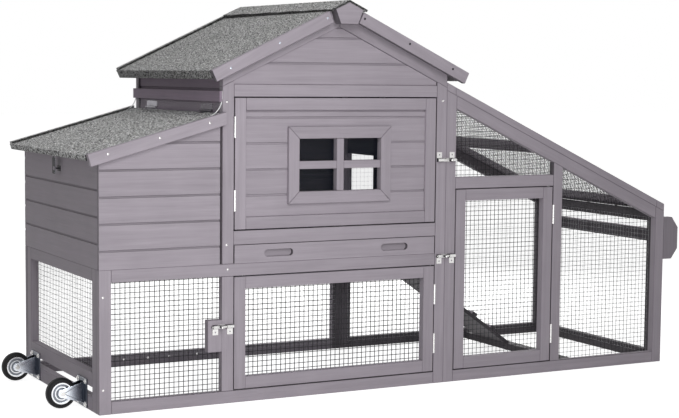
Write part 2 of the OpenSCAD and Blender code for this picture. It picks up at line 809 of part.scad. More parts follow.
module perch() {
    end = house_r - siding_t - joint_gap - stock_t;
    color(paint) translate([open_l + joint_gap, base_w / 2, base_h + perch_z])
        rotate([90, 0, 90]) linear_extrude(end - open_l - 2 * joint_gap)
            rounded_rect(stock_w, stock_t, perch_r);
}

module tray_runners() {
    color(paint) for (x = [open_l, open_r - stock_t])
        board([x, net_in, base_h - stock_w], [x + stock_t, net_out, base_h], Y);
}

// Roof

module roof_decks() {
    color(paint) both_slopes()
        slab([[house_cx + joint_gap, roof_z(house_cx + joint_gap, 0)], [eave_x, roof_z(eave_x, 0)],
              [eave_x + deck_t * sin(roof_pitch), roof_z(eave_x + deck_t * sin(roof_pitch), deck_t)],
              [house_cx + joint_gap, roof_z(house_cx + joint_gap, deck_t)]],
             -roof_front, base_w + roof_back);
}

// Felt folded down over the eaves and the back edge, where it covers a low kerb
module roof_felts() {
    top_x = eave_x + deck_t * sin(roof_pitch);
    edge = top_x + felt_t * (cos(roof_pitch) + sin(roof_pitch));
    out = eave_x + felt_t * cos(roof_pitch);
    mid = house_cx + joint_gap;
    back = base_w + roof_back;
    color(felt_grey) both_slopes() union() {
        slab([[mid, roof_z(mid, deck_t)], [top_x, roof_z(top_x, deck_t)], [eave_x, roof_z(eave_x, 0)],
              [out, roof_z(eave_x, 0) - felt_t * sin(roof_pitch)], [edge, roof_z(edge, roof_top)],
              [mid, roof_z(mid, roof_top)]], -roof_front, back);
        slab([[mid, roof_z(mid, 0)], [eave_x, roof_z(eave_x, 0)], [edge, roof_z(edge, roof_top)],
              [mid, roof_z(mid, roof_top)]], back, back + felt_t);
        slab([[mid, roof_z(mid, deck_t)], [top_x, roof_z(top_x, deck_t)],
              [edge, roof_z(edge, roof_top + kerb_h)], [mid, roof_z(mid, roof_top + kerb_h)]],
             back - kerb_w, back + felt_t);
    }
}

module ridge_cap() {
    foot = house_cx + cap_w * cos(roof_pitch);
    tip = foot + cap_t * sin(roof_pitch);
    low = roof_top + joint_gap;
    color(felt_grey) union() both_slopes()
        slab([[house_cx, roof_z(house_cx, low)], [foot, roof_z(foot, low)],
              [tip, roof_z(tip, low + cap_t)], [house_cx, roof_z(house_cx, low + cap_t)]],
             plate_y, base_w + roof_back - kerb_w - joint_gap);
}

// Two bargeboards, cut square at both ends, and a five-sided block of two boards between them
module bargeboards() {
    foot = roof_top - barge_w;
    slope = sin(roof_pitch);
    head = house_cx + plate_w / 2 + joint_gap;
    apex = roof_z(house_cx, roof_top);
    low = apex - plate_h;
    half = plate_w / 2;
    foot_half = plate_foot_w / 2;
    function cut(x, n) = [x + n * slope, roof_z(x + n * slope, n)];
    color(paint) {
        both_slopes()
            slab([cut(head, foot), cut(eave_x, foot), cut(eave_x, roof_top), cut(head, roof_top)],
                 -roof_front - barge_t, -roof_front - joint_gap);
        for (y = [plate_y, plate_y + barge_t])
            slab([[house_cx, apex], [house_cx + half, roof_z(house_cx + half, roof_top)], [house_cx + foot_half, low],
                  [house_cx - foot_half, low], [house_cx - half, roof_z(house_cx - half, roof_top)]],
                 y, y + barge_t - joint_gap);
    }
}

// A clear strip held behind the batten, bent round and laid on the lid
module rain_flap() {
    centre_x = flap_x - flap_r;
    centre_z = lid_z(centre_x, lid_top + joint_gap + flap_r);
    high = batten_low + batten_w;
    steps = 10;
    turn = 90 - lid_pitch;
    along = [-cos(lid_pitch), -sin(lid_pitch)];
    function bend(r) =
        [for (i = [0:steps]) [centre_x + r * cos(turn * i / steps), centre_z - r * sin(turn * i / steps)]];
    outer = bend(flap_r);
    inner = bend(flap_r - flap_t);
    tail = [outer[steps] + flap_tail * along, inner[steps] + flap_tail * along];
    back = [for (i = [steps:-1:0]) inner[i]];
    color("#dfe7ea", 0.5)
        slab(concat([[flap_x, high]], outer, tail, back, [[flap_x - flap_t, high]]), 0, base_w);
}

// Run

module run_side_frame(mid_post) {
    slab([[house_r + joint_gap, 0], [run_l, 0], [run_l, run_z(run_l, -joint_gap)],
          [house_r + joint_gap, run_z(house_r + joint_gap, -joint_gap)]], 0, stock_t);
    slab([[run_r, 0], [base_l, 0], [base_l, run_z(base_l, -joint_gap)], [run_r, run_z(run_r, -joint_gap)]],
         0, stock_t);
    board([run_l, 0, 0], [run_r, stock_t, stock_w], X);
    rail_l = run_l + joint_gap;
    rail_r = run_r - joint_gap;
    slab([[rail_l, run_z(rail_l, -stock_w)], [rail_r, run_z(rail_r, -stock_w)],
          [rail_r, run_z(rail_r, -joint_gap)], [rail_l, run_z(rail_l, -joint_gap)]], 0, stock_t);
}

module run_front_frame() {
    post_r = run_mid + stock_w;
    low = stock_w + joint_gap;
    under = -stock_w - joint_gap;
    color(paint) {
        run_side_frame();
        slab([[run_mid, low], [post_r, low], [post_r, run_z(post_r, under)], [run_mid, run_z(run_mid, under)]],
             0, stock_t);
        board([run_l, 0, run_head], [run_mid, stock_t, run_head + stock_w], X);
    }
}

module run_back_frame() { color(paint) at_back() run_side_frame(); }

module run_end_frame() {
    stile_l = stock_t + stock_w;
    stile_r = back_y - stock_w;
    x0 = base_l - stock_t;
    top = run_end_h - joint_gap;
    color(paint) {
        board([x0, stock_t, 0], [base_l, stile_l, top], Y);
        board([x0, stile_r, 0], [base_l, back_y, top], Y);
        board([x0, stile_l, top - stock_w], [base_l, stile_r, top], Y);
        board([x0, stile_l, 0], [base_l, stile_r, stock_w], Y);
        board([floor_tie_x, net_in, 0], [floor_tie_x + stock_w, net_out, tie_h], Y);
    }
}

// A piece of the run's roof, from x0 to x1 along its slope
module run_roof_board(x0, x1, y0, y1) {
    slab([[x0, run_z(x0, 0)], [x1, run_z(x1, 0)], [x1, run_z(x1, run_roof_t)], [x0, run_z(x0, run_roof_t)]],
         y0, y1);
}

run_roof_l = house_r + joint_gap;
run_roof_rail = stock_w * cos(run_pitch);
run_roof_mid = (house_r + base_l) / 2;
module run_roof_frame() {
    top_end = run_roof_l + run_roof_rail;
    low_end = base_l - run_roof_rail;
    color(paint) {
        run_roof_board(run_roof_l, top_end, 0, base_w);
        run_roof_board(low_end, base_l, 0, base_w);
        for (y = [0, base_w - stock_w])
            run_roof_board(top_end + joint_gap, low_end - joint_gap, y, y + stock_w);
        run_roof_board(run_roof_mid - run_roof_rail / 2, run_roof_mid + run_roof_rail / 2,
                       stock_w + joint_gap, base_w - stock_w - joint_gap);
    }
}

module run_mesh() {
    low = stock_w - net_lap;
    post_r = run_mid + stock_w;
    x0 = run_l - net_lap;
    x1 = run_r + net_lap;
    head = run_head + stock_w - net_lap;
    lap = -stock_w + net_lap;
    stile_l = stock_t + stock_w - net_lap;
    stile_r = back_y - stock_w + net_lap;
    end_top = run_end_h - stock_w + net_lap;
    mid_l = run_mid + net_lap;
    mid_r = post_r - net_lap;
    color(wire_grey) {
        net_xz(x0, mid_l, head, run_z(x0, lap), run_z(mid_l, lap), stock_t);
        net_xz(mid_r, x1 - stock_t, low, run_z(mid_r, lap), run_z(x1 - stock_t, lap), stock_t);
        at_back() net_xz(x0, x1 - stock_t, low, run_z(x0, lap), run_z(x1 - stock_t, lap), stock_t);
        translate([base_l, 0, 0]) mirror(X) along_y() net_xz(stile_l, stile_r, low, end_top, end_top, stock_t);
    }
}

// Two nets under the roof frame, which meet on its middle rail
module run_roof_mesh() {
    y0 = stock_t + joint_gap;
    w = base_w - 2 * y0;
    half = (run_roof_mid - run_l - joint_gap) / cos(run_pitch) - 1;
    low_half = (base_l - stock_t - joint_gap - run_roof_mid) / cos(run_pitch) - 1;
    color(wire_grey) {
        for (part = [[run_l + joint_gap, half], [run_roof_mid + 1, low_half]])
            translate([part[0], y0, run_z(part[0], -wire_d - joint_gap)]) rotate([0, run_pitch, 0])
                net(part[1], w, w);
    }
}

module ramp() {
    toe = [ramp_toe_x, ramp_sole];
    span = norm(toe - [ramp_x, ramp_h]);
    step = span / (cleats + 1);
    color(paint) {
        slab([[ramp_x, ramp_h], [ramp_x, ramp_h - ramp_rise], [ramp_heel_x, ramp_sole], toe], ramp_y, ramp_y + ramp_w);
        for (i = [1:cleats])
            translate([ramp_x, ramp_y, ramp_h]) rotate([0, ramp_pitch, 0])
                block([i * step - cleat_w / 2, 0, joint_gap], [i * step + cleat_w / 2, ramp_w, cleat_t]);
    }
}

// Doors

house_door = [open_l + door_gap, open_r - door_gap, sill_top + door_gap, tie_low - door_gap];
base_door = [open_l + door_gap, open_r - door_gap, stock_w + door_gap, base_h - stock_w - door_gap];
run_door = [run_l + door_gap, run_mid - door_gap, stock_w + door_gap, run_head - door_gap];
window_l = open_l + window_x;
window_w = open_r - open_l - window_x - window_side;
window_h = house_door_h - window_z - window_drop;
window_low = sill_top + window_z;

// A net on the back of a door
module door_net(door) {
    inset = stock_w - net_lap;
    top = door[3] - inset;
    net_xz(door[0] + inset, door[1] - inset, door[2] + inset, top, top, stock_t);
}

module house_door_frame() { color(paint) door_frame(house_door[0], house_door[1], house_door[2], house_door[3]); }

module house_door_siding() {
    edge = window_frame_w;
    color(paint) difference() {
        translate([0, siding_recess, 0])
            siding(house_door[0] + stock_w, house_door[1] - stock_w, house_door[2] + stock_w,
                   house_door[3] - stock_w, cut_row_h);
        block([window_l + edge, 0, window_low + edge],
              [window_l + window_w - edge, stock_t, window_low + window_h - edge]);
    }
}

// Mitred boards round the window and a cross of glazing bars
module window_frame() {
    w = window_w;
    h = window_h;
    e = window_frame_w;
    g = joint_gap;
    front = siding_recess - window_frame_t;
    back = siding_recess - joint_gap;
    deep = siding_recess + siding_t;
    color(paint) translate([window_l, 0, window_low]) {
        slab([[g, 0], [w - g, 0], [w - e - g, e], [e + g, e]], front, back);
        slab([[g, h], [e + g, h - e], [w - e - g, h - e], [w - g, h]], front, back);
        slab([[0, g], [e, e + g], [e, h - e - g], [0, h - g]], front, back);
        slab([[w, g], [w, h - g], [w - e, h - e - g], [w - e, e + g]], front, back);
        board([(w - bar_w) / 2, front + 3, e], [(w + bar_w) / 2, deep, h - e], Z);
        for (x = [[e, (w - bar_w) / 2], [(w + bar_w) / 2, w - e]])
            board([x[0], front + 3, (h - bar_w) / 2], [x[1], deep, (h + bar_w) / 2], X);
    }
}

module window_pane() {
    lap = window_frame_w - net_lap;
    y0 = siding_recess + siding_t + joint_gap;
    color("#aab4bb", 0.4) block([window_l + lap, y0, window_low + lap],
        [window_l + window_w - lap, y0 + pane_t, window_low + window_h - lap]);
}

module house_door_leaves() {
    color(nickel) door_hinges(house_hinge_x, house_door[2], house_door[3], house_hinge_inset, false) hinge_door_half();
}

module base_door_frame() { color(paint) door_frame(base_door[0], base_door[1], base_door[2], base_door[3]); }

module base_door_mesh() { color(wire_grey) door_net(base_door); }

module base_door_leaves() {
    color(nickel) door_hinges(base_hinge_x, base_door[2], base_door[3], door_hinge_inset, true) hinge_door_half();
}

module run_door_frame() { color(paint) door_frame(run_door[0], run_door[1], run_door[2], run_door[3]); }

module run_door_mesh() { color(wire_grey) door_net(run_door); }

module run_door_leaves() {
    color(nickel) door_hinges(run_hinge_x, run_door[2], run_door[3], door_hinge_inset, true) hinge_door_half();
}

// Tray

module tray_front() {
    x0 = open_l + door_gap;
    x1 = open_r - door_gap;
    z0 = base_h + tray_lift;
    z1 = tray_top - door_gap / 2;
    color(paint) difference() {
        block([x0, 0, z0], [x1, tray_front_t, z1]);
        for (x = [x0 + slot_inset + slot_l / 2, x1 - slot_inset - slot_l / 2])
            translate([x, slot_d, (z0 + z1) / 2]) rotate([90, 0, 0]) linear_extrude(slot_d + 1)
                rounded_rect(slot_l, slot_h, slot_h / 2 - 0.01);
    }
}

module tray_pan() {
    lo = [open_l + door_gap + 2, tray_front_t + joint_gap, base_h + tray_lift];
    hi = [open_r - door_gap - 2, back_y - 4, base_h + tray_lift + pan_h];
    wall = pan_t * (X + Y);
    color(zinc) difference() {
        block(lo, hi);
        block(lo + wall + pan_t * Z, hi - wall + Z);
    }
}

// Wheels and handle

module at_wheels(which) {
    for (y = which) translate([-axle_reach, y, axle_z]) children();
}

front_wheel = [caster_y];
back_wheel = [base_w - caster_back];
both_wheels = [caster_y, base_w - caster_back];
fork_in = wheel_w / 2 + fork_gap;

// A square plate with a fork whose cheeks taper to the axle
module caster_brackets() {
    cheek_h = 0.72 * caster_plate_w;
    lug = 3 * axle_r;
    slot_in = 10;
    bolt_slot_l = 14;
    bolt_slot_w = 8;
    color(zinc) at_wheels(both_wheels) difference() {
        union() {
            block([axle_reach - caster_t, -caster_plate_w / 2, caster_low - axle_z - caster_rail_w - caster_rail_gap + 2],
                  [axle_reach, caster_plate_w / 2, caster_plate_w + 2 - axle_z]);
            for (y = [-fork_in - caster_t, fork_in])
                translate([0, y + caster_t, 0]) rotate([90, 0, 0]) linear_extrude(caster_t) {
                    circle(lug);
                    polygon([[0, -lug], [axle_reach - 1, -cheek_h / 2], [axle_reach - 1, cheek_h / 2], [0, lug]]);
                }
        }
        shaft_y(0, 0, axle_r + axle_clear, -caster_plate_w, caster_plate_w);
        for (y = [-1, 1]) for (z = [slot_in, caster_plate_w - slot_in])
            translate([axle_reach, y * (caster_plate_w / 2 - slot_in), z + 2 - axle_z]) rotate([90, 0, -90])
                linear_extrude(2 * caster_t, center = true) rounded_rect(bolt_slot_l, bolt_slot_w, bolt_slot_w / 2 - 0.01);
    }
}

// A bolt through each fork, with its head and nut
module caster_axles() {
    outer = fork_in + caster_t + joint_gap;
    head = 5;
    color(nickel) at_wheels(both_wheels) {
        shaft_y(0, 0, axle_r, -outer - head, outer + head);
        for (y = [-outer - head, outer])
            translate([0, y + head, 0]) rotate([90, 0, 0]) cylinder(r = 1.8 * axle_r, h = head, $fn = 6);
    }
}

// Tyre with a rounded tread, seated on the hub
module tyre() {
    round_r = wheel_w / 2 - 4;
    seat = hub_r + axle_clear;
    rotate([90, 0, 0]) rotate_extrude($fn = 96) {
        translate([seat, -wheel_w / 2 + 1]) square([wheel_r - round_r - seat, wheel_w - 2]);
        translate([wheel_r - round_r, -wheel_w / 2 + round_r]) square([round_r, wheel_w - 2 * round_r]);
        for (v = [-1, 1]) translate([wheel_r - round_r, v * (wheel_w / 2 - round_r)]) intersection() {
            circle(round_r);
            translate([0, v > 0 ? 0 : -round_r]) square(round_r);
        }
    }
}

// Hub with a rim, a dished web with a raised ring, and a boss bored for the axle
module hub() {
    bore = axle_r + axle_clear;
    boss_r = 2.6 * axle_r;
    half = wheel_w / 2;
    web = half - 5;
    ring_r = (boss_r + hub_r - 4) / 2;
    face = [[bore, half], [boss_r, half], [boss_r + 2, web], [ring_r - 2.4, web], [ring_r - 1.6, web + 2],
            [ring_r + 1.6, web + 2], [ring_r + 2.4, web], [hub_r - 6, web], [hub_r - 4, half - 1], [hub_r, half - 1]];
    rotate([90, 0, 0]) rotate_extrude($fn = 96)
        polygon(concat(face, [for (i = [len(face) - 1:-1:0]) [face[i][0], -face[i][1]]]));
}

module front_tyre() { color(black_rubber) at_wheels(front_wheel) tyre(); }
module front_hub() { color(zinc) at_wheels(front_wheel) hub(); }
module back_tyre() { color(black_rubber) at_wheels(back_wheel) tyre(); }
module back_hub() { color(zinc) at_wheels(back_wheel) hub(); }

// Side plates with cut corners, one at each side of the end frame
module handle_plates() {
    x0 = base_l + joint_gap;
    x1 = base_l + handle_reach;
    low = handle_z - handle_h / 2;
    high = handle_z + handle_h / 2;
    cut = handle_reach * 0.42;
    rake = handle_h / 4;
    color(paint) front_and_back()
        slab([[x0, low], [x1 - cut, low], [x1, low + rake], [x1, high - rake], [x1 - cut, high], [x0, high]], 0, stock_t);
}

module handle_grip() {
    x = base_l + handle_reach / 2 + grip_t / 4;
    color(paint) translate([x, stock_t + joint_gap, handle_z]) rotate([-90, 0, 0])
        linear_extrude(base_w - 2 * stock_t - 2 * joint_gap) rounded_rect(grip_t, grip_h, 8);
}

// Fixed halves of the latches and hinges

module latch_plates() {
    staple_z = hasp_z - 0.68 * hasp_l;
    staple_x = hasp_x - 5;
    color(nickel) {
        at_house_bolt() mirror(Z) bolt_plate();
        at_run_bolt() bolt_plate();
        at_base_bolt() bolt_plate();
        translate([0, base_w / 2, staple_z]) {
            block([-leaf_t, -hasp_w / 2, -8], [0, hasp_w / 2, 8]);
            translate([-joint_gap, 0, -1.5]) linear_extrude(3) difference() {
                translate([-staple_x / 2, 0]) square([staple_x, 12], center = true);
                translate([-staple_x / 2, 0]) square([staple_x - 6, 6], center = true);
            }
        }
    }
}

module hinge_fixed_leaves() {
    half = lid_hinge_l / 2;
    third = lid_hinge_l / 6;
    color(nickel) {
        door_hinges(house_hinge_x, house_door[2], house_door[3], house_hinge_inset, false) hinge_post_half();
        door_hinges(base_hinge_x, base_door[2], base_door[3], door_hinge_inset, true) hinge_post_half();
        door_hinges(run_hinge_x, run_door[2], run_door[3], door_hinge_inset, true) hinge_post_half();
        lid_hinges() {
            difference() {
                union() for (s = [-1, 1]) {
                    shaft_y(0, 0, knuckle_r, s > 0 ? third : -half, s > 0 ? half : -third);
                    block([knuckle_r + joint_gap - leaf_t, s > 0 ? third : -half, 0],
                          [knuckle_r + joint_gap, s > 0 ? half : -third, leaf_w]);
                    block([knuckle_r + joint_gap - leaf_t, -half, knuckle_r + 0.8],
                          [knuckle_r + joint_gap, half, leaf_w]);
                }
                shaft_y(0, 0, pin_r + knuckle_clear, -lid_hinge_l, lid_hinge_l);
            }
            shaft_y(0, 0, pin_r, -half, half);
        }
    }
}

module house_bolt() { color(nickel) at_house_bolt() bolt_rod(bolt_nose); }
module run_bolt() { color(nickel) at_run_bolt() bolt_rod(bolt_nose); }
module base_bolt() { color(nickel) at_base_bolt() bolt_rod(bolt_nose); }

// Moves the built coop to its origin
module placed() { translate([-origin_x, -origin_y, 0]) children(); }

placed() base_front_frame();
placed() base_back_frame();
placed() base_left_frame();
placed() base_mesh();
placed() nest_side_walls();
placed() nest_end_wall();
placed() nest_floor();
placed() nest_divider();
placed() house_front_frame();
placed() house_back_frame();
placed() gable_siding();
placed() house_back_siding();
placed() house_left_wall();
placed() house_right_wall();
placed() perch();
placed() tray_runners();
placed() roof_decks();
placed() roof_felts();
placed() ridge_cap();
placed() bargeboards();
placed() rain_flap();
placed() ramp();
placed() run_front_frame();
placed() run_back_frame();
placed() run_end_frame();
placed() run_roof_frame();
placed() run_mesh();
placed() run_roof_mesh();
placed() handle_plates();
placed() handle_grip();
placed() caster_brackets();
placed() caster_axles();
placed() latch_plates();
placed() hinge_fixed_leaves();
placed() house_door_frame();
placed() house_door_siding();
placed() window_frame();
placed() window_pane();
placed() house_door_leaves();
placed() base_door_frame();
placed() base_door_mesh();
placed() base_door_leaves();
placed() run_door_frame();
placed() run_door_mesh();
placed() run_door_leaves();
placed() tray_front();
placed() tray_pan();
placed() nest_lid_deck();
placed() nest_lid_felt();
placed() nest_lid_barge();
placed() nest_lid_leaves();
placed() hasp_strap();
placed() house_bolt();
placed() run_bolt();
placed() base_bolt();
placed() front_tyre();
placed() front_hub();
placed() back_tyre();
placed() back_hub();
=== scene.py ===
"""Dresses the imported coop: painted boards, mineral felt, welded wire, screws and a clear rain flap."""

import json
import math
import random

import bmesh
import bpy
from mathutils import Matrix, Vector
from mathutils.bvhtree import BVHTree
from mathutils.geometry import convex_hull_2d


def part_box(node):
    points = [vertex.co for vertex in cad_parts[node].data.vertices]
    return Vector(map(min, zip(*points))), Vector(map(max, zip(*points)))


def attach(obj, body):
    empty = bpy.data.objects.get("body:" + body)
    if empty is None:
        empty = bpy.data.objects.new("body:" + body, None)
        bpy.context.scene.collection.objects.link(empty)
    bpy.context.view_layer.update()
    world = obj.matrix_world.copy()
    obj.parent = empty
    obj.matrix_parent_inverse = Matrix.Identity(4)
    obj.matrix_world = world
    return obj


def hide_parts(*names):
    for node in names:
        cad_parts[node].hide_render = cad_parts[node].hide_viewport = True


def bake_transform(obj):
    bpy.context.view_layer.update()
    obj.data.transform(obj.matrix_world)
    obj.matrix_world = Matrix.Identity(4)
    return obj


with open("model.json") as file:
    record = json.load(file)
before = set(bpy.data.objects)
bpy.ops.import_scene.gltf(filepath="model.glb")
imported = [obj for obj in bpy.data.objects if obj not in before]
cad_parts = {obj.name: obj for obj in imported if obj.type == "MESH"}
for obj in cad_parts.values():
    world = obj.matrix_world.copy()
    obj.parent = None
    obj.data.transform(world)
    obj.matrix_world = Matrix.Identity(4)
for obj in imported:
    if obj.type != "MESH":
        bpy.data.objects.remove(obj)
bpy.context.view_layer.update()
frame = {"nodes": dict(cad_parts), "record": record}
NODES = frame["nodes"]

# The CAD is built from its left end, front face and the ground, in millimetres
ORIGIN = Vector((975.5, 341.0, 0.0))
MM_PER_M = 1000.0
BASE_W = 706.0
STOCK_T = 24.0

FRONT = Vector((0, -1, 0))
BACK = Vector((0, 1, 0))
LEFT = Vector((-1, 0, 0))
RIGHT = Vector((1, 0, 0))
UP = Vector((0, 0, 1))
WHITE = (1.0, 1.0, 1.0, 1.0)


def at(x, y, z):
    """A point of the CAD's building frame, in millimetres, as a place in the row frame."""
    return (Vector((x, y, z)) - ORIGIN) / MM_PER_M


# Shader helpers


def srgb(r, g, b):
    """An 8-bit screen colour as a linear RGBA colour."""

    def linear(c):
        c /= 255.0
        return c / 12.92 if c <= 0.04045 else ((c + 0.055) / 1.055) ** 2.4

    return (linear(r), linear(g), linear(b), 1.0)


class Shader:
    """A small builder for node materials."""

    def __init__(self, name):
        self.material = bpy.data.materials.new(name)
        self.material.use_nodes = True
        self.tree = self.material.node_tree
        self.bsdf = self.tree.nodes["Principled BSDF"]

    def node(self, kind, **settings):
        made = self.tree.nodes.new(kind)
        for key, value in settings.items():
            setattr(made, key, value)
        return made

    def link(self, source, target):
        self.tree.links.new(source, target)

    def feed(self, name, value):
        """Links a value to an input of the surface."""
        self.link(value, self.bsdf.inputs[name])

    def set(self, **values):
        """Sets inputs of the surface, named with _ for each space."""
        for key, value in values.items():
            self.bsdf.inputs[key.replace("_", " ")].default_value = value

    def attribute(self, name):
        return self.node("ShaderNodeAttribute", attribute_name=name)

    def position(self):
        return self.node("ShaderNodeTexCoord").outputs["Object"]

    def scaled(self, vector, scale):
        mapping = self.node("ShaderNodeMapping")
        mapping.inputs["Scale"].default_value = scale
        self.link(vector, mapping.inputs["Vector"])
        return mapping.outputs["Vector"]

    def noise(self, vector, scale, detail=4.0, rough=0.55):
        made = self.node("ShaderNodeTexNoise")
        made.inputs["Scale"].default_value = scale
        made.inputs["Detail"].default_value = detail
        made.inputs["Roughness"].default_value = rough
        self.link(vector, made.inputs["Vector"])
        return made.outputs["Fac"]

    def ramp(self, value, *stops):
        made = self.node("ShaderNodeValToRGB")
        elements = made.color_ramp.elements
        while len(elements) < len(stops):
            elements.new(0.5)
        for element, (place, colour) in zip(elements, stops):
            element.position = place
            element.color = colour
        self.link(value, made.inputs["Fac"])
        return made.outputs["Color"]

    def span(self, value, low, high, from_low=0.0, from_high=1.0):
        made = self.node("ShaderNodeMapRange")
        made.inputs["From Min"].default_value = from_low
        made.inputs["From Max"].default_value = from_high
        made.inputs["To Min"].default_value = low
        made.inputs["To Max"].default_value = high
        self.link(value, made.inputs["Value"])
        return made.outputs["Result"]

    def math(self, operation, a, b):
        made = self.node("ShaderNodeMath", operation=operation)
        for socket, value in zip(made.inputs, (a, b)):
            if isinstance(value, (int, float)):
                socket.default_value = value
            else:
                self.link(value, socket)
        return made.outputs["Value"]

    def shade(self, colour, factor):
        """A colour made lighter or darker by a factor."""
        made = self.node("ShaderNodeVectorMath", operation="SCALE")
        if isinstance(colour, tuple):
            made.inputs[0].default_value = colour[:3]
        else:
            self.link(colour, made.inputs[0])
        self.link(factor, made.inputs["Scale"])
        return made.outputs["Vector"]

    def bump(self, height, strength, distance):
        made = self.node("ShaderNodeBump")
        made.inputs["Strength"].default_value = strength
        made.inputs["Distance"].default_value = distance
        self.link(height, made.inputs["Height"])
        self.feed("Normal", made.outputs["Normal"])


# Materials

# Change of tone on a face in full painted shade
SHADE_TONE = -0.74
# Wood's noise, stretched along and squeezed across the grain
STREAK = (3.0, 70.0, 70.0)
FIBRE = (9.0, 420.0, 420.0)
STREAK_HEIGHT = 0.6
# Shares of coarse grit and of fine chips in the felt
GRIT_SHARE = 0.75
CHIP_SHARE = 0.25
# Stretch of the scratches on metal
SCRATCH = (90.0, 900.0, 400.0)
TARNISH_SCALE = 60.0


def paint_material(name, colour):
    """Matt paint on softwood: streaks along the grain, a random tone for each board, and painted shade
    on the faces marked for it.
    """
    s = Shader(name)
    grain = s.attribute("grain").outputs["Vector"]
    streak = s.noise(s.scaled(grain, STREAK), scale=1.0, detail=5.0, rough=0.6)
    fibre = s.noise(s.scaled(grain, FIBRE), scale=1.0, detail=3.0, rough=0.6)
    blotch = s.noise(grain, scale=9.0, detail=2.0)
    # Painted shade: marked faces are darkened as if in shadow
    shade_level = s.math("MULTIPLY", s.attribute("inner").outputs["Fac"], SHADE_TONE)
    tone = s.math("ADD", s.span(streak, low=-0.2, high=0.2), s.span(fibre, low=-0.1, high=0.1))
    for change in (s.span(blotch, low=-0.08, high=0.08), s.attribute("tint_and_shade").outputs["Fac"], shade_level):
        tone = s.math("ADD", tone, change)
    s.feed("Base Color", s.shade(colour, s.math("ADD", tone, 1.0)))
    s.feed("Roughness", s.span(streak, low=0.5, high=0.72))
    s.set(Specular_IOR_Level=0.3)
    height = s.math("ADD", s.math("MULTIPLY", streak, STREAK_HEIGHT), fibre)
    s.bump(height, strength=0.35, distance=0.0008)
    return s.material


def felt_material(name, tone, grit_scale=215.0):
    """Mineral felt: pale and dark grit on a grey sheet."""
    s = Shader(name)
    place = s.position()
    grit = s.noise(place, scale=grit_scale, detail=2.0, rough=0.75)
    chips = s.noise(place, scale=420.0, detail=1.0, rough=0.5)
    patch = s.noise(place, scale=6.0, detail=3.0)
    colour = s.ramp(
        s.math("ADD", s.math("MULTIPLY", grit, GRIT_SHARE), s.math("MULTIPLY", chips, CHIP_SHARE)),
        (0.42, srgb(46, 46, 47)),
        (0.48, srgb(128, 128, 128)),
        (0.52, srgb(216, 216, 215)),
        (0.58, srgb(255, 255, 255)),
    )
    s.feed("Base Color", s.shade(colour, s.span(patch, low=0.9 * tone, high=1.1 * tone)))
    s.set(Roughness=0.95, Specular_IOR_Level=0.15)
    s.bump(grit, strength=0.8, distance=0.002)
    return s.material


def metal_material(name, colour, roughness, mottle=0.08):
    """Plated metal with a faint mottle and fine scratches."""
    s = Shader(name)
    place = s.position()
    cloud = s.noise(place, scale=TARNISH_SCALE, detail=3.0)
    scratch = s.noise(s.scaled(place, SCRATCH), scale=1.0, detail=2.0)
    s.feed("Base Color", s.shade(colour, s.span(cloud, low=1.0 - mottle, high=1.0 + mottle)))
    s.feed("Roughness", s.span(scratch, low=roughness - 0.07, high=roughness + 0.12))
    s.set(Metallic=1.0)
    s.bump(scratch, strength=0.08, distance=0.0004)
    return s.material


def fork_material(axle_x, plate_x):
    """Pressed zinc with a painted reflection: bright at the axle and dark towards the plate."""
    s = Shader("fork_zinc")
    place = s.position()
    split = s.node("ShaderNodeSeparateXYZ")
    s.link(place, split.inputs["Vector"])
    cloud = s.noise(place, scale=TARNISH_SCALE, detail=3.0)
    reach = s.span(split.outputs["X"], low=0.0, high=1.0, from_low=axle_x, from_high=plate_x)
    colour = s.ramp(
        s.math("ADD", reach, s.span(cloud, low=-0.15, high=0.15)),
        (0.1, srgb(240, 244, 250)),
        (0.5, srgb(196, 203, 214)),
        (0.9, srgb(72, 78, 90)),
    )
    s.feed("Base Color", s.shade(colour, s.span(cloud, low=0.8, high=1.2)))
    s.feed("Roughness", s.span(cloud, low=0.14, high=0.3))
    s.set(Metallic=1.0)
    return s.material


def wire_material(name, dark, pale):
    """Dull galvanised metal, with darker and lighter lengths."""
    s = Shader(name)
    cloud = s.noise(s.position(), scale=35.0, detail=3.0)
    s.feed("Base Color", s.ramp(cloud, (0.3, dark), (0.7, pale)))
    s.feed("Roughness", s.span(cloud, low=0.5, high=0.7))
    s.set(Specular_IOR_Level=0.3)
    return s.material


def rubber_material():
    """Black rubber, a little dusty."""
    s = Shader("rubber")
    place = s.position()
    dust = s.noise(place, scale=40.0, detail=4.0)
    grain = s.noise(place, scale=700.0, detail=2.0)
    s.feed("Base Color", s.ramp(dust, (0.35, srgb(9, 9, 11)), (0.75, srgb(22, 22, 25))))
    s.feed("Roughness", s.span(dust, low=0.45, high=0.7))
    s.set(Specular_IOR_Level=0.25)
    s.bump(grain, strength=0.15, distance=0.0006)
    return s.material


def clear_material(name, colour, alpha, roughness):
    """Clear plastic sheet, thin enough not to bend the view."""
    s = Shader(name)
    cloud = s.noise(s.position(), scale=14.0, detail=2.0)
    s.feed("Roughness", s.span(cloud, low=roughness, high=roughness + 0.08))
    s.set(Base_Color=colour, Alpha=alpha, Specular_IOR_Level=0.5)
    return s.material


# Middle of the axle and back of the plate, along the caster's fork
AXLE_X = at(-66, 0, 0).x
FRAME_X = at(0, 0, 0).x

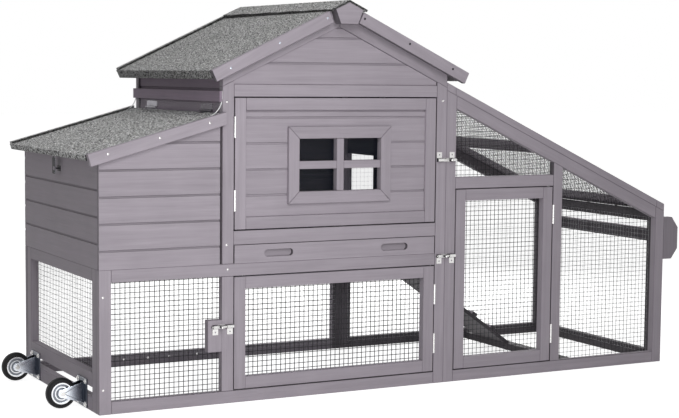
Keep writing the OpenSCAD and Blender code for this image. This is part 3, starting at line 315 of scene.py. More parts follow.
PAINT = paint_material("paint", srgb(168, 160, 169))
# Darker paint for the eased edges of the boards
EDGE_PAINT = paint_material("eased_edge_paint", srgb(148, 140, 149))
# A darker copy of the paint for the wall under the eave: painted shade
EAVE_SHADE_PAINT = paint_material("eave_shade_paint", srgb(165, 148, 166))
FELT = felt_material("felt", tone=0.96)
LID_FELT = felt_material("lid_felt", tone=1.13, grit_scale=180.0)
# Dark felt: black bitumen on the cut edges, and painted shade on the kerb's front and under the ridge
# felt's feet
CUT_EDGE_AND_SHADE_FELT = felt_material("felt_cut_edge_and_shade", tone=0.16)
# A darker copy of the felt for the folds over the eaves: painted shade
SHADED_EAVE_FELT = felt_material("shaded_eave_felt", tone=0.62)
ZINC = metal_material("zinc", srgb(203, 208, 216), roughness=0.2, mottle=0.04)
# Dark metal that stands in for painted shade on the hasp, the latch plates, the bolts and the sunk
# screws
SHADE_METAL = wire_material("shade_zinc", srgb(22, 21, 25), srgb(46, 45, 50))
FORK = fork_material(AXLE_X, FRAME_X)
# Darkened zinc for the caster plates: painted shade
SHADED_PLATE = metal_material("plate_zinc", srgb(88, 91, 100), roughness=0.3, mottle=0.2)
# A lighter and a darker copy of the zinc for the lid's hinge leaves, the front ones darker: painted
# light and shade
LEAF = metal_material("lid_leaf", srgb(153, 150, 157), roughness=0.35)
SHADED_LEAF = metal_material("shaded_lid_leaf", srgb(74, 66, 76), roughness=0.35)
NICKEL = metal_material("nickel", srgb(216, 215, 214), roughness=0.22, mottle=0.04)
HUB = metal_material("hub", srgb(236, 238, 241), roughness=0.2, mottle=0.04)
# Dark zinc for the hubs' webs: a painted dark reflection
PAINTED_REFLECTION_WEB = metal_material("hub_web_painted_reflection", srgb(120, 124, 131), roughness=0.3, mottle=0.05)
WIRE = wire_material("wire", srgb(24, 23, 27), srgb(58, 57, 61))
# Pale wire for the inner halves of the far nets: painted light
LIT_WIRE = wire_material("lit_wire", srgb(206, 207, 210), srgb(232, 233, 235))
RUBBER = rubber_material()
CLEAR = clear_material("clear_film", srgb(226, 231, 235), alpha=0.05, roughness=0.06)
# White hem of the flap: a hem, made bright as a painted highlight on the film's edge
CLEAR_HEM_HIGHLIGHT = clear_material("clear_film_hem_highlight", srgb(253, 254, 255), alpha=1.0, roughness=0.1)
# Dark blue-grey pane that darkens the view inside: painted shade
PANE = clear_material("pane", srgb(40, 48, 66), alpha=0.1, roughness=0.04)
LOOKS = {
    "paint": PAINT,
    "felt": FELT,
    "zinc": ZINC,
    "hub": HUB,
    "nickel": NICKEL,
    "wire": WIRE,
    "rubber": RUBBER,
    "clear_film": CLEAR,
    "pane": PANE,
}


# CAD nodes: boards with their grain, tint and painted shade

# Decimals, in metres, within which two corners are one
SPOT_DIGITS = 5
# Share of an edge that runs along one axis, for a board's edge and for a level or upright one
ALONG_SHARE = 0.8
STRAIGHT_SHARE = 0.9999
NEARLY_AS_LONG = 0.6
NO_EDGE = Vector((0.001, 0.0, 0.0))


def solids(mesh):
    """The faces of a mesh, grouped by the solid that they belong to."""
    owner = list(range(len(mesh.polygons)))

    def top(i):
        while owner[i] != i:
            owner[i] = owner[owner[i]]
            i = owner[i]
        return i

    first = {}
    for face in mesh.polygons:
        for v in face.vertices:
            spot = tuple(round(c, SPOT_DIGITS) for c in mesh.vertices[v].co)
            owner[top(face.index)] = top(first.setdefault(spot, face.index))
    groups = {}
    for face in mesh.polygons:
        groups.setdefault(top(face.index), []).append(face)
    return list(groups.values())


def length_axis(mesh, faces):
    """The direction of a solid's longest edge, or of a level or upright one that is nearly as long."""
    longest = NO_EDGE
    straight = NO_EDGE
    for face in faces:
        corners = [mesh.vertices[v].co for v in face.vertices]
        for a, b in zip(corners, corners[1:] + corners[:1]):
            edge = b - a
            reach = max(abs(edge.x), abs(edge.y), abs(edge.z))
            if edge.length > longest.length and reach > ALONG_SHARE * edge.length:
                longest = edge
            if edge.length > straight.length and reach > STRAIGHT_SHARE * edge.length:
                straight = edge
    best = straight if straight.length > NEARLY_AS_LONG * longest.length else longest
    return best.normalized()


# Frames whose outer face alone is left bright, the rest taking painted shade, where twice a direction
# takes in a sloping face too
OUTWARD = {
    "base_back_frame": BACK,
    "run_back_frame": BACK,
    "run_end_frame": RIGHT,
    "ramp": 2 * UP,
}
# Pieces that take painted shade on one side, such as the inside of the house's walls
INWARD = {
    "house_back_frame": FRONT,
    "house_back_siding": FRONT,
    "house_left_wall": RIGHT,
    "house_right_wall": LEFT,
    "handle_grip": LEFT,
}
# Cosine of the angle up to which a face counts as turned that way
FACING = 0.5
# Depth of the painted shade on those sides, where it is not full
FULL_SHADE = 1.0
SIDE_SHADE = {"base_back_frame": 0.5, "run_end_frame": 1.1, "ramp": 1.1}
# Under sides of the roof, which take painted shade
SOFFITS = ("roof_decks", "bargeboards")
SOFFIT_Z = -0.2
SOFFIT_SHADE = 0.8
# Nodes darker than the rest by painted shade: the handle plates, and the left wall under the eave
NODE_SHADE = {"handle_plates": -0.24, "house_left_wall": -0.3}
# Boards with grooves, which take painted shade inside them
GROOVED = (
    "nest_side_walls",
    "nest_end_wall",
    "gable_siding",
    "house_back_siding",
    "house_left_wall",
    "house_right_wall",
    "house_door_siding",
)
GROOVE_SHADE = 0.42
FAINT_GROOVES = {"house_door_siding": 0.2, "gable_siding": 0.28, "house_left_wall": 0.1}
GROOVE_DEPTH = 0.0005
SIDING_T = 0.012
SIDING_PLAY = 0.001
# Spread of the boards' tints, and of their places in the grain's noise
TINT_SPREAD = 0.035
GRAIN_SPREAD = 40
# Upward part of a board's direction from which it counts as upright
UPRIGHT = 0.7


def deepen(mesh, face, shade_level):
    """Deepens the painted shade of a face to at least this level."""
    mark = mesh.attributes["inner"].data[face.index]
    mark.value = max(mark.value, shade_level)


def groove_faces(mesh, faces):
    """The faces of a siding board that lie between its two broad sides."""
    broad = max(faces, key=lambda face: face.area).normal
    depth = [mesh.vertices[v].co.dot(broad) for face in faces for v in face.vertices]
    low = min(depth)
    high = max(depth)
    if abs(high - low - SIDING_T) > SIDING_PLAY:
        return []
    between = []
    for face in faces:
        level = face.center.dot(broad)
        if min(high - level, level - low) > GROOVE_DEPTH:
            between.append(face)
    return between


def shade_sides(obj):
    """Paints shade onto the sides of a node that face into the coop, and onto the under sides of the
    roof.
    """
    outward = OUTWARD.get(obj.name)
    inward = INWARD.get(obj.name)
    inner = obj.data.attributes["inner"]
    for face in obj.data.polygons:
        shaded = outward is not None and face.normal.dot(outward) < FACING
        shaded = shaded or (inward is not None and face.normal.dot(inward) > FACING)
        inner.data[face.index].value = SIDE_SHADE.get(obj.name, FULL_SHADE) if shaded else 0.0
        if obj.name in SOFFITS and face.normal.z < SOFFIT_Z:
            inner.data[face.index].value = SOFFIT_SHADE


def mark_boards(obj, rng):
    """Gives each board of a node its own grain direction, place in the grain and tone, and marks its
    painted shade.
    """
    mesh = obj.data
    mesh.attributes.new("grain", "FLOAT_VECTOR", "POINT")
    mesh.attributes.new("tint_and_shade", "FLOAT", "POINT")
    mesh.attributes.new("inner", "FLOAT", "FACE")
    shade_sides(obj)
    grain = mesh.attributes["grain"]
    tint_and_shade = mesh.attributes["tint_and_shade"]
    for faces in solids(mesh):
        if obj.name in GROOVED:
            for face in groove_faces(mesh, faces):
                deepen(mesh, face, FAINT_GROOVES.get(obj.name, GROOVE_SHADE))
        along = length_axis(mesh, faces)
        side = UP if abs(along.z) < UPRIGHT else RIGHT
        across = along.cross(side).normalized()
        rise = across.cross(along)
        shift = Vector([rng.uniform(0, GRAIN_SPREAD) for _ in range(3)])
        # A random tint for each board, plus the painted shade of its node
        shade = rng.uniform(-TINT_SPREAD, TINT_SPREAD) + NODE_SHADE.get(obj.name, 0.0)
        for v in {v for face in faces for v in face.vertices}:
            co = mesh.vertices[v].co
            grain.data[v].vector = Vector((co.dot(along), co.dot(across), co.dot(rise))) + shift
            tint_and_shade.data[v].value = shade


# CAD nodes: materials and eased edges

EASE = 0.0012
FINE_EASE = 0.0006
EASE_STEPS = 2
EASE_ANGLE = math.radians(40)
WELD_REACH = 0.00002
# Forward part of the normal of a felt's cut edge and of the kerb's front, which take the dark felt
CUT_EDGE_Y = -0.9


def ease_edges(obj, width):
    """Rounds the sharp edges a little, as sanding or pressing does."""
    weld = obj.modifiers.new("weld", "WELD")
    weld.merge_threshold = WELD_REACH
    bevel = obj.modifiers.new("bevel", "BEVEL")
    bevel.width = width
    bevel.segments = EASE_STEPS
    bevel.limit_method = "ANGLE"
    bevel.angle_limit = EASE_ANGLE
    bevel.harden_normals = True
    if EDGE_PAINT.name in obj.data.materials and obj.name not in GROOVED:
        bevel.material = 1


def second_look(name, material, wanted):
    """Gives another material to those faces of a node that pass a test."""
    mesh = NODES[name].data
    mesh.materials.append(material)
    for face in mesh.polygons:
        if wanted(face):
            face.material_index = len(mesh.materials) - 1


rng = random.Random(7)
SLOTS = {part["node"]: part["material_slot"] for part in frame["record"]["subparts"]}
for name, obj in NODES.items():
    look = SLOTS[name]
    obj.data.materials.clear()
    obj.data.materials.append(LOOKS[look])
    if look == "paint":
        obj.data.materials.append(EDGE_PAINT)
        mark_boards(obj, rng)
        ease_edges(obj, FINE_EASE if name in GROOVED else EASE)
    if look in ("felt", "zinc"):
        ease_edges(obj, FINE_EASE)
    if look == "felt":
        second_look(name, CUT_EDGE_AND_SHADE_FELT, lambda face: face.normal.y < CUT_EDGE_Y)


# Painted shade in the gaps between the boards of the front, and in the finger slots of the tray's front

FRONT_FRAMES = (
    "base_front_frame",
    "base_door_frame",
    "house_front_frame",
    "house_door_frame",
    "tray_front",
    "run_front_frame",
    "run_door_frame",
)
GAP_REACH = 0.006
GAP_START = 0.0004
GAP_SIDE_Y = 0.3
# Painted shade in the gaps, lighter on the doors' own edges
GAP_SHADE = 0.95
DOOR_GAP_SHADE = 0.6
# How far a slot lies inside the edges and the faces of its board
SLOT_EDGE = 0.004
SLOT_FACE = 0.001
# Painted shade in a slot: light on its floor, deep on the sides that look down or left
SLOT_SHADE = 0.16
SLOT_SHADOW = 0.95
SLOT_TURN = -0.3


def shade_gaps(names):
    """Paints shade onto the sides of boards that look onto another board across a narrow gap."""
    corners = []
    faces = []
    for name in names:
        mesh = NODES[name].data
        first = len(corners)
        corners += [v.co.copy() for v in mesh.vertices]
        faces += [[first + v for v in face.vertices] for face in mesh.polygons]
    tree = BVHTree.FromPolygons(corners, faces)
    for name in names:
        mesh = NODES[name].data
        shade_level = DOOR_GAP_SHADE if name.endswith("door_frame") else GAP_SHADE
        for face in mesh.polygons:
            if abs(face.normal.y) > GAP_SIDE_Y:
                continue
            start = face.center + GAP_START * face.normal
            if tree.ray_cast(start, face.normal, GAP_REACH)[0] is not None:
                deepen(mesh, face, shade_level)


def shade_slots(obj):
    """Paints shade into the slots that are cut into a board, darkest where they look down or left."""
    low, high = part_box(obj.name)
    inner = obj.data.attributes["inner"]
    for face in obj.data.polygons:
        x, y, z = face.center
        inside = low[0] + SLOT_EDGE < x < high[0] - SLOT_EDGE
        inside = inside and low[2] + SLOT_EDGE < z < high[2] - SLOT_EDGE
        if inside and low[1] + SLOT_FACE < y < high[1] - SLOT_FACE:
            shadowed = face.normal.z < SLOT_TURN or face.normal.x < SLOT_TURN
            inner.data[face.index].value = SLOT_SHADOW if shadowed else SLOT_SHADE


shade_gaps(FRONT_FRAMES)
shade_slots(NODES["tray_front"])


# Second materials: plated faces with sides in painted shade, leaves of the lid's hinges in painted light
# and shade, caster plates in painted shade and hub webs with a painted dark reflection

NODES["nest_lid_felt"].data.materials[0] = LID_FELT
# The left wall under the eave takes the paint with painted shade
NODES["house_left_wall"].data.materials[0] = EAVE_SHADE_PAINT
NODES["caster_brackets"].data.materials[0] = FORK

HASP_X = at(1, 0, 0).x
LID_LEAF_Y = at(0, 30, 0).y
MIDDLE_Y = at(0, BASE_W / 2, 0).y
PLATE_REACH = 0.006
PLATE_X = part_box("caster_brackets")[1][0] - PLATE_REACH
# Limits of the normal's parts that tell a side in painted shade from a plated face
STRAP_SIDE_Y = 0.7
LATCH_SIDE_Y = -0.45
BOLT_SIDE_Y = -0.35
EAVE_SIDE_X = 0.7
HUB_FACE_Y = 0.9
WEB_DEPTH = 0.004


def shade_hub(name):
    """Leaves the rim, the ring and the boss of a hub bright, and paints a dark reflection onto its web.
    """
    low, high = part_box(name)
    middle = (Vector(low) + Vector(high)) / 2
    half = (high[1] - low[1]) / 2

    def on_web(face):
        depth = half - abs(face.center.y - middle.y)
        return abs(face.normal.y) > HUB_FACE_Y and depth > WEB_DEPTH

    second_look(name, PAINTED_REFLECTION_WEB, on_web)


def on_latch_side(face):
    """Whether a face is on the side of a latch plate, or on the hasp's staple at the left end, which
    take painted shade.
    """
    return face.center.x < HASP_X or face.normal.y > LATCH_SIDE_Y


# Painted shade on the hasp's sides, and on the latch plates' sides and staple
second_look("hasp_strap", SHADE_METAL, lambda face: abs(face.normal.y) < STRAP_SIDE_Y)
second_look("latch_plates", SHADE_METAL, on_latch_side)
# Painted light and shade on the lid's hinge leaves, lighter at the back and darker at the front
second_look("hinge_fixed_leaves", LEAF, lambda face: face.center.y > LID_LEAF_Y)
second_look("hinge_fixed_leaves", SHADED_LEAF, lambda face: LID_LEAF_Y < face.center.y < MIDDLE_Y)
second_look("nest_lid_leaves", LEAF, lambda face: True)
second_look("nest_lid_leaves", SHADED_LEAF, lambda face: face.center.y < MIDDLE_Y)
# The felt's folds over the eaves take the felt with painted shade
second_look("roof_felts", SHADED_EAVE_FELT, lambda face: abs(face.normal.x) > EAVE_SIDE_X)
second_look("caster_brackets", SHADED_PLATE, lambda face: face.center.x > PLATE_X)
# Painted shade on all but the fronts of the bolts
for bolt in ("house_bolt", "run_bolt", "base_bolt"):
    second_look(bolt, SHADE_METAL, lambda face: face.normal.y > BOLT_SIDE_Y)
for hub in ("front_hub", "back_hub"):
    shade_hub(hub)


# New pieces


def piece(name, mesh_maker, body, look, replaced=None):
    """A mesh piece that rides on a body and takes its finish from a slot of the record."""
    bm = bmesh.new()
    mesh_maker(bm)
    mesh = bpy.data.meshes.new(name)
    bm.to_mesh(mesh)
    bm.free()
    mesh.materials.append(LOOKS[look])
    obj = bpy.data.objects.new(name, mesh)
    bpy.context.scene.collection.objects.link(obj)
    if body:
        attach(obj, body)
    if replaced:
        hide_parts(replaced)
    return obj


def turns(count):
    """The angles of the corners of a regular ring."""
    return [2 * math.pi * i / count for i in range(count)]


def band(bm, lower, upper):
    """The faces between two closed rings with the same number of corners."""
    made = []
    for i in range(len(lower)):
        j = (i + 1) % len(lower)
        made.append(bm.faces.new((lower[i], lower[j], upper[j], upper[i])))
    return made


# Welded wire, laid over each CAD net

WIRE_PITCH = 0.0152
WIRE_SIDES = 6
# Radius of the wires, that of some nets, of the left end, and of the back and the run's end
WIRE_R = 0.00074
NET_WIRE_R = {"base_mesh": 0.00108, "base_door_mesh": 0.00116, "run_door_mesh": 0.00086}
END_WIRE_R = 0.00058
FAR_WIRE_R = 0.00028
# Limits of the outward direction's parts for those sides, and of the outer half of a far wire
BACK_Y = 0.5
END_X = 0.9
OUTER_HALF = 0.3
# Thickness up to which a net counts as level or upright
FLAT_NET = 0.01
NO_LENGTH = 1e-9


def rod(bm, a, b, radius):
    """A straight round bar with flat ends."""
    along = (b - a).normalized()
    side = along.orthogonal().normalized()
    other = along.cross(side)
    rings = []
    for end in (a, b):
        spots = [end + radius * (math.cos(t) * side + math.sin(t) * other) for t in turns(WIRE_SIDES)]
        rings.append([bm.verts.new(spot) for spot in spots])
    for face in band(bm, *rings):
        face.smooth = True
    bm.faces.new(rings[0][::-1])
    bm.faces.new(rings[1])


def crossing(outline, axis, value):
    """The span of a convex outline along the line where one coordinate has a value."""
    hits = []
    for p, q in zip(outline, outline[1:] + outline[:1]):
        low, high = sorted((p[axis], q[axis]))
        if low <= value <= high and high - low > NO_LENGTH:
            t = (value - p[axis]) / (q[axis] - p[axis])
            hits.append(p[1 - axis] + t * (q[1 - axis] - p[1 - axis]))
    return (min(hits), max(hits)) if len(hits) > 1 else None


def is_far(outward):
    """Whether a net is at the back or at the run's end."""
    return outward.y > BACK_Y or outward.x > END_X


def wire_radius(node, outward):
    """The radius of a net's wires, which depends on the side of the coop that it is on."""
    if is_far(outward):
        return FAR_WIRE_R
    if outward.x < -END_X:
        return END_WIRE_R
    return NET_WIRE_R.get(node, WIRE_R)


def lay_wire(bm, points, u, v, outward, radius):
    """Fills the flat outline of a net with wires along u and v, from its framed side inwards."""
    made = len(bm.faces)
    flat = [Vector((p.dot(u), p.dot(v))) for p in points]
    outline = [flat[i] for i in convex_hull_2d(flat)]
    face = max(p.dot(outward) for p in points)
    for axis, depth in ((0, radius), (1, 3 * radius)):
        low = min(p[axis] for p in outline) + 2 * radius
        high = max(p[axis] for p in outline) - 2 * radius
        count = round((high - low) / WIRE_PITCH)
        for i in range(count + 1):
            value = low + (high - low) * i / count
            span = crossing(outline, axis, value)
            if span is None or span[1] - span[0] < WIRE_PITCH:
                continue
            base = (face - depth) * outward
            ends = [value * u + s * v if axis == 0 else s * u + value * v for s in span]
            rod(bm, base + ends[0], base + ends[1], radius)
    # Painted light: the inner half of each far wire takes the pale wire
    if is_far(outward):
        bm.faces.ensure_lookup_table()
        for side in bm.faces[made:]:
            side.normal_update()
            if side.normal.dot(outward) < OUTER_HALF:
                side.material_index = 1


def net_axes(points):
    """The two directions of a net's wires and the way out of the coop."""
    middle = sum(points, Vector()) / len(points)
    size = [max(p[i] for p in points) - min(p[i] for p in points) for i in range(3)]
    thin = size.index(min(size))
    if size[thin] < FLAT_NET:
        outward = Vector((0, 0, 0))
        outward[thin] = 1.0 if middle[thin] > 0 else -1.0
        u = BACK if thin == 0 else RIGHT
        return u, UP, outward
    high = max(points, key=lambda p: p.z)
    low = min(points, key=lambda p: p.z)
    slope = Vector((low.x - high.x, 0.0, low.z - high.z)).normalized()
    return slope, BACK, BACK.cross(slope) * -1.0


def wire_panels(node):
    """A maker of the wires of all the nets in a CAD node."""

    def make(bm):
        mesh = NODES[node].data
        for faces in solids(mesh):
            points = [mesh.vertices[v].co.copy() for v in {v for f in faces for v in f.vertices}]
            u, v, outward = net_axes(points)
            if outward.z < 0:
                outward = -outward
            lay_wire(bm, points, u, v, outward, wire_radius(node, outward))

    return make


for node, body in (
    ("base_mesh", "coop"),
    ("run_mesh", "coop"),
    ("run_roof_mesh", "coop"),
    ("base_door_mesh", "base_door"),
    ("run_door_mesh", "run_door"),
):
    panel = piece(node.replace("mesh", "wire"), wire_panels(node), body, "wire", node)
    panel.data.materials.append(LIT_WIRE)


# Clear rain flap, bent from the house wall onto the lid

FLAP_Y = (1.0, BASE_W - 1.0)
FLAP_COLUMNS = 24
FLAP_HEM = 6.0
FLAP_T = 0.001
FLAP_R = 0.056
FLAP_STEPS = 16
CAD_FLAP_R = 0.044
LID_PITCH = math.radians(15.6)
# Share of the CAD flap's straight end on the lid that the sheet takes up
TAIL_SHARE = 0.98
ON_WALL = 2e-5


def flap_profile():
    """Middle line of the flap's section, from its top edge down to its tip, in metres."""
    points = [v.co for v in NODES["rain_flap"].data.vertices]
    spots = {(round(p.x, SPOT_DIGITS), round(p.z, SPOT_DIGITS)) for p in points}
    top_z = max(z for _, z in spots)
    wall_x = max(x for x, _ in spots)
    tip_x = min(x for x, _ in spots)
    centre_x = wall_x - FLAP_R
    centre_z = min(z for x, z in spots if abs(x - wall_x) < ON_WALL)
    centre_z += (FLAP_R - CAD_FLAP_R) * math.tan(math.pi / 4 - LID_PITCH / 2)
    line = [(wall_x - FLAP_T / 2, top_z), (wall_x - FLAP_T / 2, (top_z + centre_z) / 2)]
    r = FLAP_R - FLAP_T / 2
    for i in range(FLAP_STEPS + 1):
        turn = (math.pi / 2 - LID_PITCH) * i / FLAP_STEPS
        line.append((centre_x + r * math.cos(turn), centre_z - r * math.sin(turn)))
    tail = (line[-1][0] - tip_x) * TAIL_SHARE
    line.append((line[-1][0] - tail, line[-1][1] - tail * math.tan(LID_PITCH)))
    return line


def flap_mesh(bm):
    """The sheet along the profile, with a narrow hem column at both ends, white for a hem and a painted
    highlight.
    """
    y0 = at(0, FLAP_Y[0] + FLAP_HEM, 0).y
    y1 = at(0, FLAP_Y[1] - FLAP_HEM, 0).y
    across = [y0 + (y1 - y0) * i / FLAP_COLUMNS for i in range(FLAP_COLUMNS + 1)]
    across = [at(0, FLAP_Y[0], 0).y] + across + [at(0, FLAP_Y[1], 0).y]
    rows = [[bm.verts.new((x, y, z)) for y in across] for x, z in flap_profile()]
    for a, b in zip(rows, rows[1:]):
        for i in range(len(across) - 1):
            face = bm.faces.new((a[i], a[i + 1], b[i + 1], b[i]))
            face.smooth = True
            if i in (0, len(across) - 2):
                face.material_index = 1


flap = piece("clear_flap", flap_mesh, None, "clear_film")
profile = flap_profile()
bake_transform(flap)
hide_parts("rain_flap")
skin = flap.modifiers.new("thickness", "SOLIDIFY")
skin.thickness = FLAP_T
skin.offset = 0.0
# The rim of the sheet takes the white hem, a painted highlight
skin.material_offset_rim = 1
flap.data.materials.append(CLEAR_HEM_HIGHLIGHT)


# Felt over the ridge, laid down to the CAD cap's place and a little thinner

CAP_T = 0.0064
CAP_T_BACK = 0.0118
CAP_STEPS = 40
CAP_STOPS = (0.0, 0.33, 0.66, 1.0)
# Height of the felt's waves, their number in half turns, and their shift between the slopes
CAP_WAVE = 0.0006
CAP_WAVES = 9.0
WAVE_SHIFT = 2.0
ROOF_PITCH = math.radians(25.3)
IN_PLANE = 1e-4


def ridge_felt(bm):
    """A bent strip of felt whose surface is not quite even, with its cut edges at both ends."""
    low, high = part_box("ridge_cap")
    points = [v.co for v in NODES["ridge_cap"].data.vertices]
    ridge_x = (low[0] + high[0]) / 2
    under = min(p.z for p in points if abs(p.x - ridge_x) < IN_PLANE)
    foot_x = max(p.x for p in points if abs(p.z - low[2]) < IN_PLANE)
    across = foot_x - ridge_x
    rows = []
    for i in range(CAP_STEPS + 1):
        y = low[1] + (high[1] - low[1]) * i / CAP_STEPS
        thick = CAP_T + (CAP_T_BACK - CAP_T) * i / CAP_STEPS
        lift = thick / math.cos(ROOF_PITCH)
        tip = thick * math.sin(ROOF_PITCH)
        upper = []
        lower = []
        for side in (-1, 1):
            for t in CAP_STOPS if side > 0 else CAP_STOPS[:0:-1]:
                phase = CAP_WAVES * i / CAP_STEPS * math.pi + WAVE_SHIFT * side * t
                wave = CAP_WAVE * math.sin(phase) * t
                x = ridge_x + side * t * across
                z = under - t * across * math.tan(ROOF_PITCH)
                lower.append(bm.verts.new((x, y, z)))
                out = side * tip * t
                top_z = z + lift - abs(out) * math.tan(ROOF_PITCH) + wave - CAP_WAVE
                upper.append(bm.verts.new((x + out, y, top_z)))
        rows.append(upper + lower[::-1])
    count = len(rows[0])
    for a, b in zip(rows, rows[1:]):
        sides = band(bm, a, b)
        # The cut edges at the feet and the ends take the dark felt: bitumen, with painted shade along
        # the feet
        for i in (count // 2 - 1, count - 1):
            sides[i].material_index = 1
    for row in (rows[0], rows[-1]):
        face = bm.faces.new(row)
        face.material_index = 1
    bmesh.ops.recalc_face_normals(bm, faces=bm.faces)


cap = piece("ridge_felt", ridge_felt, "coop", "felt", "ridge_cap")
cap.data.materials.append(CUT_EDGE_AND_SHADE_FELT)


# Screws

SCREW_R = 0.0036
SCREW_SIDES = 16
# Radius and height of the head's rings, in radii of the head
SCREW_RINGS = ((1.0, -0.3), (1.0, 0.1), (0.72, 0.34), (0.4, 0.42))
# The cross recess: rings inside this radius dip at every fourth corner, down to the floor
RECESS_R = 0.5
RECESS_DIP = 0.3
RECESS_STEP = 4
RECESS_FLOOR = 0.1


def screw(bm, place, outward):
    """A domed screw head with a cross recess, set into the board."""
    side = outward.orthogonal().normalized()
    other = outward.cross(side)
    turn = rng.uniform(0, math.pi)
    rings = []
    for radius, height in SCREW_RINGS:
        ring = []
        for i, angle in enumerate(turns(SCREW_SIDES)):
            dip = RECESS_DIP if radius < RECESS_R and i % RECESS_STEP == 0 else 0.0
            out = radius * (math.cos(angle + turn) * side + math.sin(angle + turn) * other)
            ring.append(bm.verts.new(place + SCREW_R * (out + (height - dip) * outward)))
        rings.append(ring)
    for a, b in zip(rings, rings[1:]):
        band(bm, a, b)
    middle = bm.verts.new(place + SCREW_R * RECESS_FLOOR * outward)
    for i in range(SCREW_SIDES):
        bm.faces.new((rings[-1][i], rings[-1][(i + 1) % SCREW_SIDES], middle))


def screws(outward, y, spots):
    """A maker of screws at places (x, z) of an upright plane of the building frame, facing one way."""

    def make(bm):
        for x, z in spots:
            screw(bm, at(x, y, z), outward)

    return make


BARGE_Y = -44.0
LID_BARGE_Y = -20.0
POST_SPOTS = ((12, 333), (12, 70), (388, 880), (388, 466), (392, 394), (1116, 884))
ROOF_SPOTS = ((380, 977), (534, 1051), (689, 1126))
SUNK_SPOTS = ((813, 1127), (969, 1056), (1123, 982))
LID_SPOTS = ((21, 736), (174, 779), (326, 820))
RAIL_SPOTS = ((322, 22), (406, 22), (481, 22), (582, 22))
piece("post_screws", screws(FRONT, 0, POST_SPOTS), "coop", "nickel")
piece("post_screws_back", screws(-FRONT, BASE_W, POST_SPOTS), "coop", "nickel")
piece("roof_screws", screws(FRONT, BARGE_Y, ROOF_SPOTS), "coop", "zinc")
# The sunk screws take the dark metal of painted shade
sunk = piece("sunk_screws", screws(FRONT, BARGE_Y, SUNK_SPOTS), "coop", "zinc")
sunk.data.materials[0] = SHADE_METAL
piece("lid_screws", screws(FRONT, LID_BARGE_Y, LID_SPOTS), "nest_lid", "nickel")
piece("rail_screws", screws(FRONT, BASE_W - STOCK_T, RAIL_SPOTS), "coop", "nickel")


# Stop lath behind the upper edge of the run door

STOP_REACH = 0.012
STOP_T = 0.006
STOP_GAP = 0.0035
STOP_EASE = 0.001


def door_stop(bm):
    """A lath with eased edges on the inside of the rail above the door, which the door shuts against."""
    low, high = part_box("run_door_frame")
    y0 = high[1] + STOP_GAP
    y1 = y0 + STOP_T
    z0 = high[2] - STOP_REACH
    z1 = high[2] + STOP_REACH
    section = [
        (y0 + STOP_EASE, z0),
        (y1 - STOP_EASE, z0),
        (y1, z0 + STOP_EASE),
        (y1, z1),
        (y0, z1),
        (y0, z0 + STOP_EASE),
    ]
    ends = [[bm.verts.new((x, y, z)) for y, z in section] for x in (low[0], high[0])]
    band(bm, *ends)
    bm.faces.new(ends[0][::-1])
    bm.faces.new(ends[1])
    bmesh.ops.recalc_face_normals(bm, faces=bm.faces)


stop = piece("door_stop", door_stop, "coop", "paint")
mark_boards(stop, rng)


# Hex bolts that hold the caster plates

BOLT_R = 5.2
# Corners, and the rings' radius in radii of the head and height in millimetres
WASHER = (24, ((1.5, 0.0), (1.5, 1.0), (1.4, 1.2)))
HEX_HEAD = (6, ((1.0, 1.2), (1.0, 4.0), (0.84, 4.8)))
CASTERS_Y = (142.0, BASE_W - 112.0)
PLATE_FACE_X = -3.0
PLATE_HALF = 32.5
PLATE_BOLTS_Z = (12.0, 77.0)


def hex_bolt(bm, x, y, z):
    """A washer and a hexagonal head with a chamfered rim, facing the left end."""
    for sides, rings in (WASHER, HEX_HEAD):
        loops = []
        for size, out in rings:
            r = size * BOLT_R
            spots = [(x - out, y + r * math.cos(t), z + r * math.sin(t)) for t in turns(sides)]
            loops.append([bm.verts.new(at(*spot)) for spot in spots])
        for a, b in zip(loops, loops[1:]):
            band(bm, b, a)
        bm.faces.new(loops[-1][::-1])


def caster_bolts(bm):
    """Four bolts on each caster's plate."""
    for middle in CASTERS_Y:
        for y in (middle - PLATE_HALF, middle + PLATE_HALF):
            for z in PLATE_BOLTS_Z:
                hex_bolt(bm, PLATE_FACE_X, y, z)
    bmesh.ops.recalc_face_normals(bm, faces=bm.faces)


piece("caster_bolts", caster_bolts, "coop", "nickel")


# Camera

FOCAL_PX = 1555.06
IMAGE_W = 679.0
SENSOR_W = 36.0
CAMERA_PLACE = at(-1426.6, -4112.4, 955.9)
AZIMUTH = math.radians(-27.97)
ELEVATION = math.radians(4.87)
ROLL = math.radians(0.569)

camera_data = bpy.data.cameras.new("camera")
camera_data.sensor_fit = "HORIZONTAL"
camera_data.sensor_width = SENSOR_W
camera_data.lens = FOCAL_PX / IMAGE_W * SENSOR_W
camera = bpy.data.objects.new("camera", camera_data)
backward = Vector(
    (
        math.sin(AZIMUTH) * math.cos(ELEVATION),
        -math.cos(AZIMUTH) * math.cos(ELEVATION),
        math.sin(ELEVATION),
    )
)
level = Vector((math.cos(AZIMUTH), math.sin(AZIMUTH), 0.0))
upright = backward.cross(level)
sideways = math.cos(ROLL) * level + math.sin(ROLL) * upright
upward = -math.sin(ROLL) * level + math.cos(ROLL) * upright
turned = Matrix((sideways, upward, backward)).transposed().to_4x4()
camera.matrix_world = Matrix.Translation(CAMERA_PLACE) @ turned
bpy.context.scene.collection.objects.link(camera)
bpy.context.scene.camera = camera


# Floor and light

AMBIENT = 0.22
FLOOR_GLOW = 0.85
FLOOR_GREY = (0.6, 0.6, 0.6, 1.0)
FLOOR_ROUGHNESS = 0.9
FLOOR_REACH = 30.0
FLOOR_Z = -0.0006


def seen_rays(tree):
    """1 for rays from the camera, a mirror or clear plastic, and 0 for light on the object."""
    path = tree.nodes.new("ShaderNodeLightPath")
    total = path.outputs["Is Camera Ray"]
    for name in ("Is Glossy Ray", "Is Transmission Ray"):
        wider = tree.nodes.new("ShaderNodeMath")
        wider.operation = "MAXIMUM"
        tree.links.new(total, wider.inputs[0])
        tree.links.new(path.outputs[name], wider.inputs[1])
        total = wider.outputs["Value"]
    return total


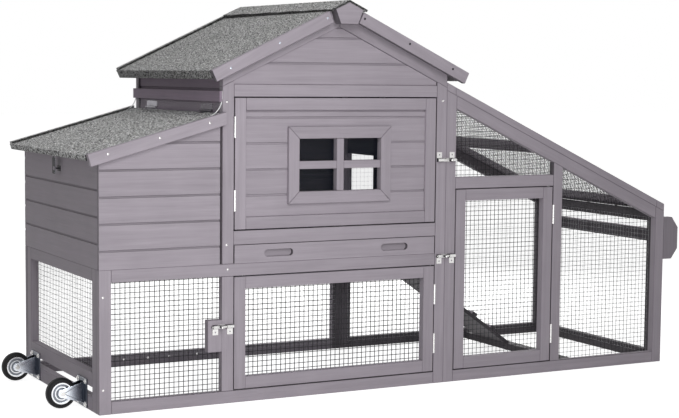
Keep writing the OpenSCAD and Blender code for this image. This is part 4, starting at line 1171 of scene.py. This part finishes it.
world = bpy.data.worlds.new("studio")
world.use_nodes = True
bpy.context.scene.world = world
background = world.node_tree.nodes["Background"]
background.inputs["Color"].default_value = WHITE
strength = world.node_tree.nodes.new("ShaderNodeMapRange")
strength.inputs["To Min"].default_value = AMBIENT
strength.inputs["To Max"].default_value = 1.0
world.node_tree.links.new(seen_rays(world.node_tree), strength.inputs["Value"])
world.node_tree.links.new(strength.outputs["Result"], background.inputs["Strength"])

floor_look = Shader("floor")
floor_look.set(Base_Color=FLOOR_GREY, Roughness=FLOOR_ROUGHNESS, Emission_Color=WHITE)
floor_look.feed("Emission Strength", floor_look.math("MULTIPLY", seen_rays(floor_look.tree), FLOOR_GLOW))
floor_mesh = bpy.data.meshes.new("floor")
floor_sides = ((-1, -1), (1, -1), (1, 1), (-1, 1))
floor_corners = [(x * FLOOR_REACH, y * FLOOR_REACH, FLOOR_Z) for x, y in floor_sides]
floor_mesh.from_pydata(floor_corners, [], [(0, 1, 2, 3)])
floor_mesh.materials.append(floor_look.material)
floor = bpy.data.objects.new("floor", floor_mesh)
bpy.context.scene.collection.objects.link(floor)

# Power in watts, side of the square in metres, and place and target in the building frame
LAMPS = {
    "key": (20.5, 1.0, (0.0, -2000.0, 1750.0), (700.0, 100.0, 550.0)),
    "fill": (18.0, 1.2, (0.0, -2000.0, 350.0), (700.0, 100.0, 500.0)),
    "sky": (14.0, 2.0, (500.0, 1100.0, 3300.0), (600.0, 350.0, 900.0)),
    "back": (24.0, 1.4, (2200.0, 2400.0, 1300.0), (1100.0, 500.0, 500.0)),
}


def lamp(name, energy, size, place, target):
    """A square soft light that faces a point of the building frame."""
    data = bpy.data.lights.new(name, "AREA")
    data.energy = energy
    data.size = size
    made = bpy.data.objects.new(name, data)
    made.location = at(*place)
    made.rotation_euler = (made.location - at(*target)).to_track_quat("Z", "Y").to_euler()
    bpy.context.scene.collection.objects.link(made)


for name, settings in LAMPS.items():
    lamp(name, *settings)

bpy.context.scene.view_settings.view_transform = "Standard"
